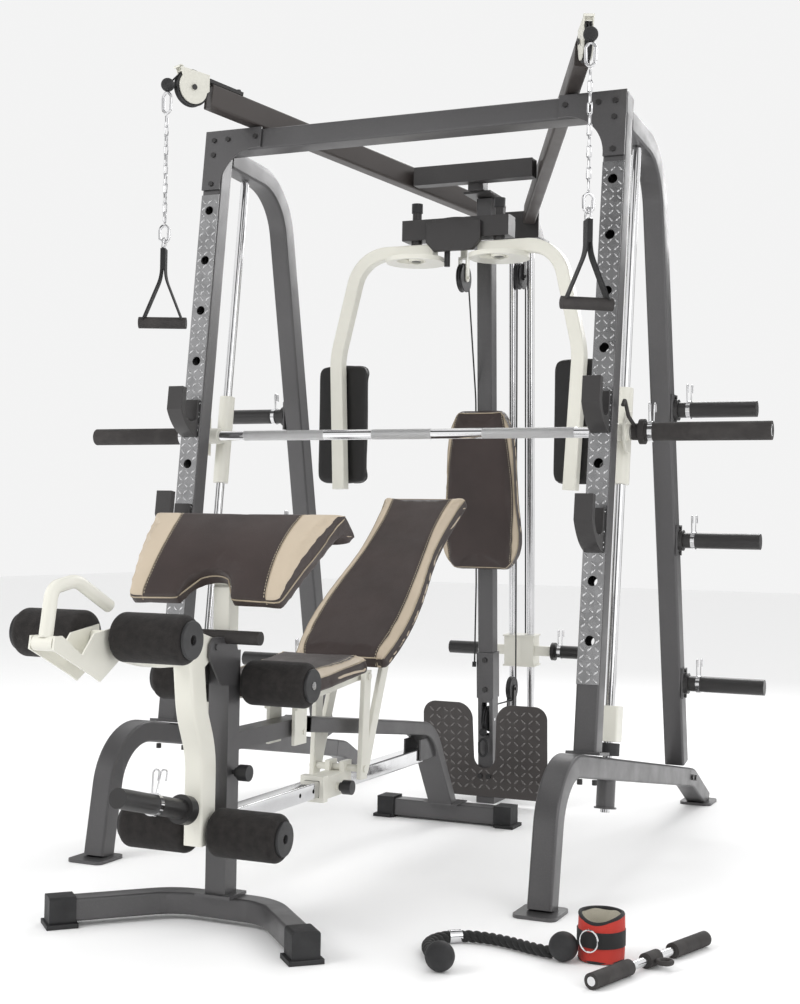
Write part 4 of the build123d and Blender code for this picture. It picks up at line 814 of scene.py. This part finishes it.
def make_everything():
    grey = painted("charcoal_coat", (0.088, 0.086, 0.088), 0.38, 0.45, flake=0.3)
    dark_grey = painted("dark_coat", (0.040, 0.038, 0.038), 0.42, 0.3, flake=0.2)
    brown = painted("brown_coat", (0.050, 0.042, 0.039), 0.4, 0.15)
    cream = painted("cream_coat", (0.70, 0.69, 0.62), 0.34, scuff=0.05)
    black = painted("black_coat", (0.022, 0.021, 0.021), 0.42, 0.1)
    chrome = plated("chrome_plate")
    # The facing plate's lozenges and ground are one steel in two copies: the lozenges' lighter copy is a
    # painted reflection, the ground's darker copy is painted shade.
    tread_lit_steel = plated("tread_lit_steel", (0.76, 0.76, 0.77), 0.16, brushed=0.25)
    tread_shaded_steel = plated("tread_shaded_steel", (0.33, 0.33, 0.335), 0.22, brushed=0.3)
    tread_dark = painted("tread_dark", (0.060, 0.054, 0.052), 0.4, 0.35, flake=0.2)
    # The foot plate's lozenges carry the plate's own paint; their lighter colour is a painted highlight.
    tread_painted_highlight = painted("tread_painted_highlight", (0.20, 0.19, 0.185), 0.26, 0.6)
    rubber = moulded("black_rubber", (0.016, 0.016, 0.017), 0.62)
    plastic = moulded("black_plastic", (0.018, 0.018, 0.019), 0.4, 420.0, 0.15)
    grip = moulded("grip_rubber", (0.03, 0.027, 0.026), 0.7, 160.0, 0.5)
    foam = foamed("black_foam", (0.011, 0.0095, 0.009))
    webbing = woven("black_webbing", (0.02, 0.02, 0.021))
    red = woven("red_nylon", (0.62, 0.045, 0.03))
    lining = woven("cream_lining", (0.70, 0.66, 0.55))
    rope_look = woven("black_rope", (0.018, 0.018, 0.018))
    piping = moulded("piping", (0.30, 0.25, 0.18), 0.45)
    thread = moulded("thread", (0.50, 0.44, 0.33), 0.8)
    black_vinyl = vinyl("black_vinyl", color=(0.016, 0.015, 0.015))

    make_chain("right", 1, chrome)
    make_chain("left", -1, chrome)
    ends = dress("rope_ends", "rubber", [(chrome, lambda low, high, at: high.z < 0.04), (rubber, None)])
    make_rope(rope_look, ends)

    for node in ("side_bases", "front_uprights", "top_crossbeam", "rear_frames", "rear_post"):
        dress(node, "frame_grey", whole(grey))
    dress("steel_facings", "steel_plate",
          [(tread_shaded_steel, lambda low, high, at: low.z < 1.0), (grey, None)], 0.0008)
    dress("guide_rods", "chrome", whole(chrome))
    dress("stop_collars", "cream", [(rubber, lambda low, high, at: high.z < 0.335), (cream, None)])
    dress("storage_pegs", "black_metal",
          [(chrome, lambda low, high, at: high.z - low.z > 0.095),
           (grey, lambda low, high, at: high.x - low.x < 0.007), (black, None)])
    dress("top_arms", "arm_brown", whole(brown))
    dress("arm_bridge", "arm_brown", whole(dark_grey))
    dress("pulley_brackets", "cream",
          [(cream, lambda low, high, at: high.z > 2.14 and high.y < 0.11 and low.z < 2.08),
           (cream, lambda low, high, at: 0.6 < low.y < 0.75 and 1.6 < low.z < 1.7),
           (chrome, lambda low, high, at: high.x - low.x < 0.06 and high.z < 0.28), (black, None)])
    dress("foot_plate", "tread_plate", whole(tread_dark))
    dress("pec_head", "frame_grey",
          [(plastic, lambda low, high, at: at.z > 1.815 or high.z < 1.751), (dark_grey, None)])
    dress("tower_cable", "black_metal",
          [(chrome, lambda low, high, at: abs(low.x) > 0.5 and high.z < 2.09), (rubber, None)], 0.0)
    dress("frame_bolts", "black_metal", whole(black), 0.0006)
    dress("smith_bar", "chrome", whole(knurled("knurled_chrome", ((0.0, 0.09), (0.24, 0.50)))))
    dress("bar_sleeves", "black_metal", [(chrome, lambda low, high, at: high.x - low.x < 0.05), (grip, None)])
    dress("bar_carriages", "cream", whole(cream))
    for node in ("head_pulley", "low_pulley", "base_pulley", "top_pulley", "arm_pulley_right",
                 "arm_pulley_left"):
        dress(node, "black_plastic", whole(plastic))
    dress("weight_carriage", "cream",
          [(chrome, lambda low, high, at: high.z - low.z > 0.09 and high.x - low.x < 0.02),
           (black, lambda low, high, at: low.x > 0.11 or high.x < -0.11),
           (plastic, lambda low, high, at: high.z - low.z < 0.02), (cream, None)])
    dress("bench_frame", "frame_grey",
          [(grip, lambda low, high, at: low.z > 0.61 and 0.2 < high.x - low.x < 0.23),
           (chrome, lambda low, high, at: high.x - low.x > 0.39 and high.z - low.z < 0.05 and low.z > 0.5),
           (grey, None)])
    dress("bench_rail", "chrome", whole(chrome))
    dress("rubber_feet", "rubber", whole(rubber), 0.003)
    for node in ("seat_frame", "backrest_frame", "preacher_post"):
        dress(node, "cream", whole(cream))
    dress("bench_slider", "cream", [(rubber, lambda low, high, at: high.y - low.y < 0.03), (cream, None)])
    for node in ("slider_knob", "post_knob"):
        dress(node, "black_plastic", whole(plastic))
    dress("leg_lever", "cream",
          [(chrome, lambda low, high, at: high.x - low.x > 0.3),
           (chrome, lambda low, high, at: high.y - low.y < 0.09 and low.z > 0.265 and 0.33 < high.z < 0.40),
           (black, lambda low, high, at: low.z > 0.22 and high.z < 0.38), (cream, None)])
    dress("curl_handle", "cream", whole(cream))
    for node in ("upper_rollers", "seat_rollers", "lower_rollers"):
        dress(node, "foam", [(plastic, lambda low, high, at: high.x - low.x < 0.02), (foam, None)], 0.002)
    dress("short_bar", "chrome", [(chrome, lambda low, high, at: high.z < 0.026), (grip, None)])
    for hand in ("right", "left"):
        for level in ("upper", "lower"):
            dress(f"{level}_catch_{hand}", "black_metal", whole(dark_grey))
        dress(f"pec_arm_{hand}", "cream", whole(cream))
        dress(f"handle_{hand}", "webbing",
              [(chrome, lambda low, high, at: at.z > 1.6385), (grip, lambda low, high, at: at.z < 1.449),
               (webbing, None)], 0.0008)

    make_ankle_strap(red, lining, webbing, chrome)
    up, out = Vector((0, sin(LEAN), cos(LEAN))), Vector((0, -cos(LEAN), sin(LEAN)))
    for side in SIDES:
        treads("facing_treads_" + ("right" if side > 0 else "left"), "steel_facings", "steel_plate",
               spot(0, 184, 0) + out * 0.0025, up, out, (side * 0.606 - 0.0195, side * 0.606 + 0.02),
               (0.505, 1.845), 0.0195, (0.0165, 0.0048, 0.0012), tread_lit_steel)
    up = Vector((0, -sin(POST_LEAN), cos(POST_LEAN)))
    out = Vector((0, -cos(POST_LEAN), -sin(POST_LEAN)))
    treads("foot_treads", "foot_plate", "tread_plate", spot(0, POST_FACE_Y, 0) + out * 0.010, up, out,
           (-0.205, 0.206), (0.030, 0.315), 0.0240, (0.0210, 0.0058, 0.0014), tread_painted_highlight)
    make_pads(piping, thread, black_vinyl)


make_camera()
make_stage()
make_everything()
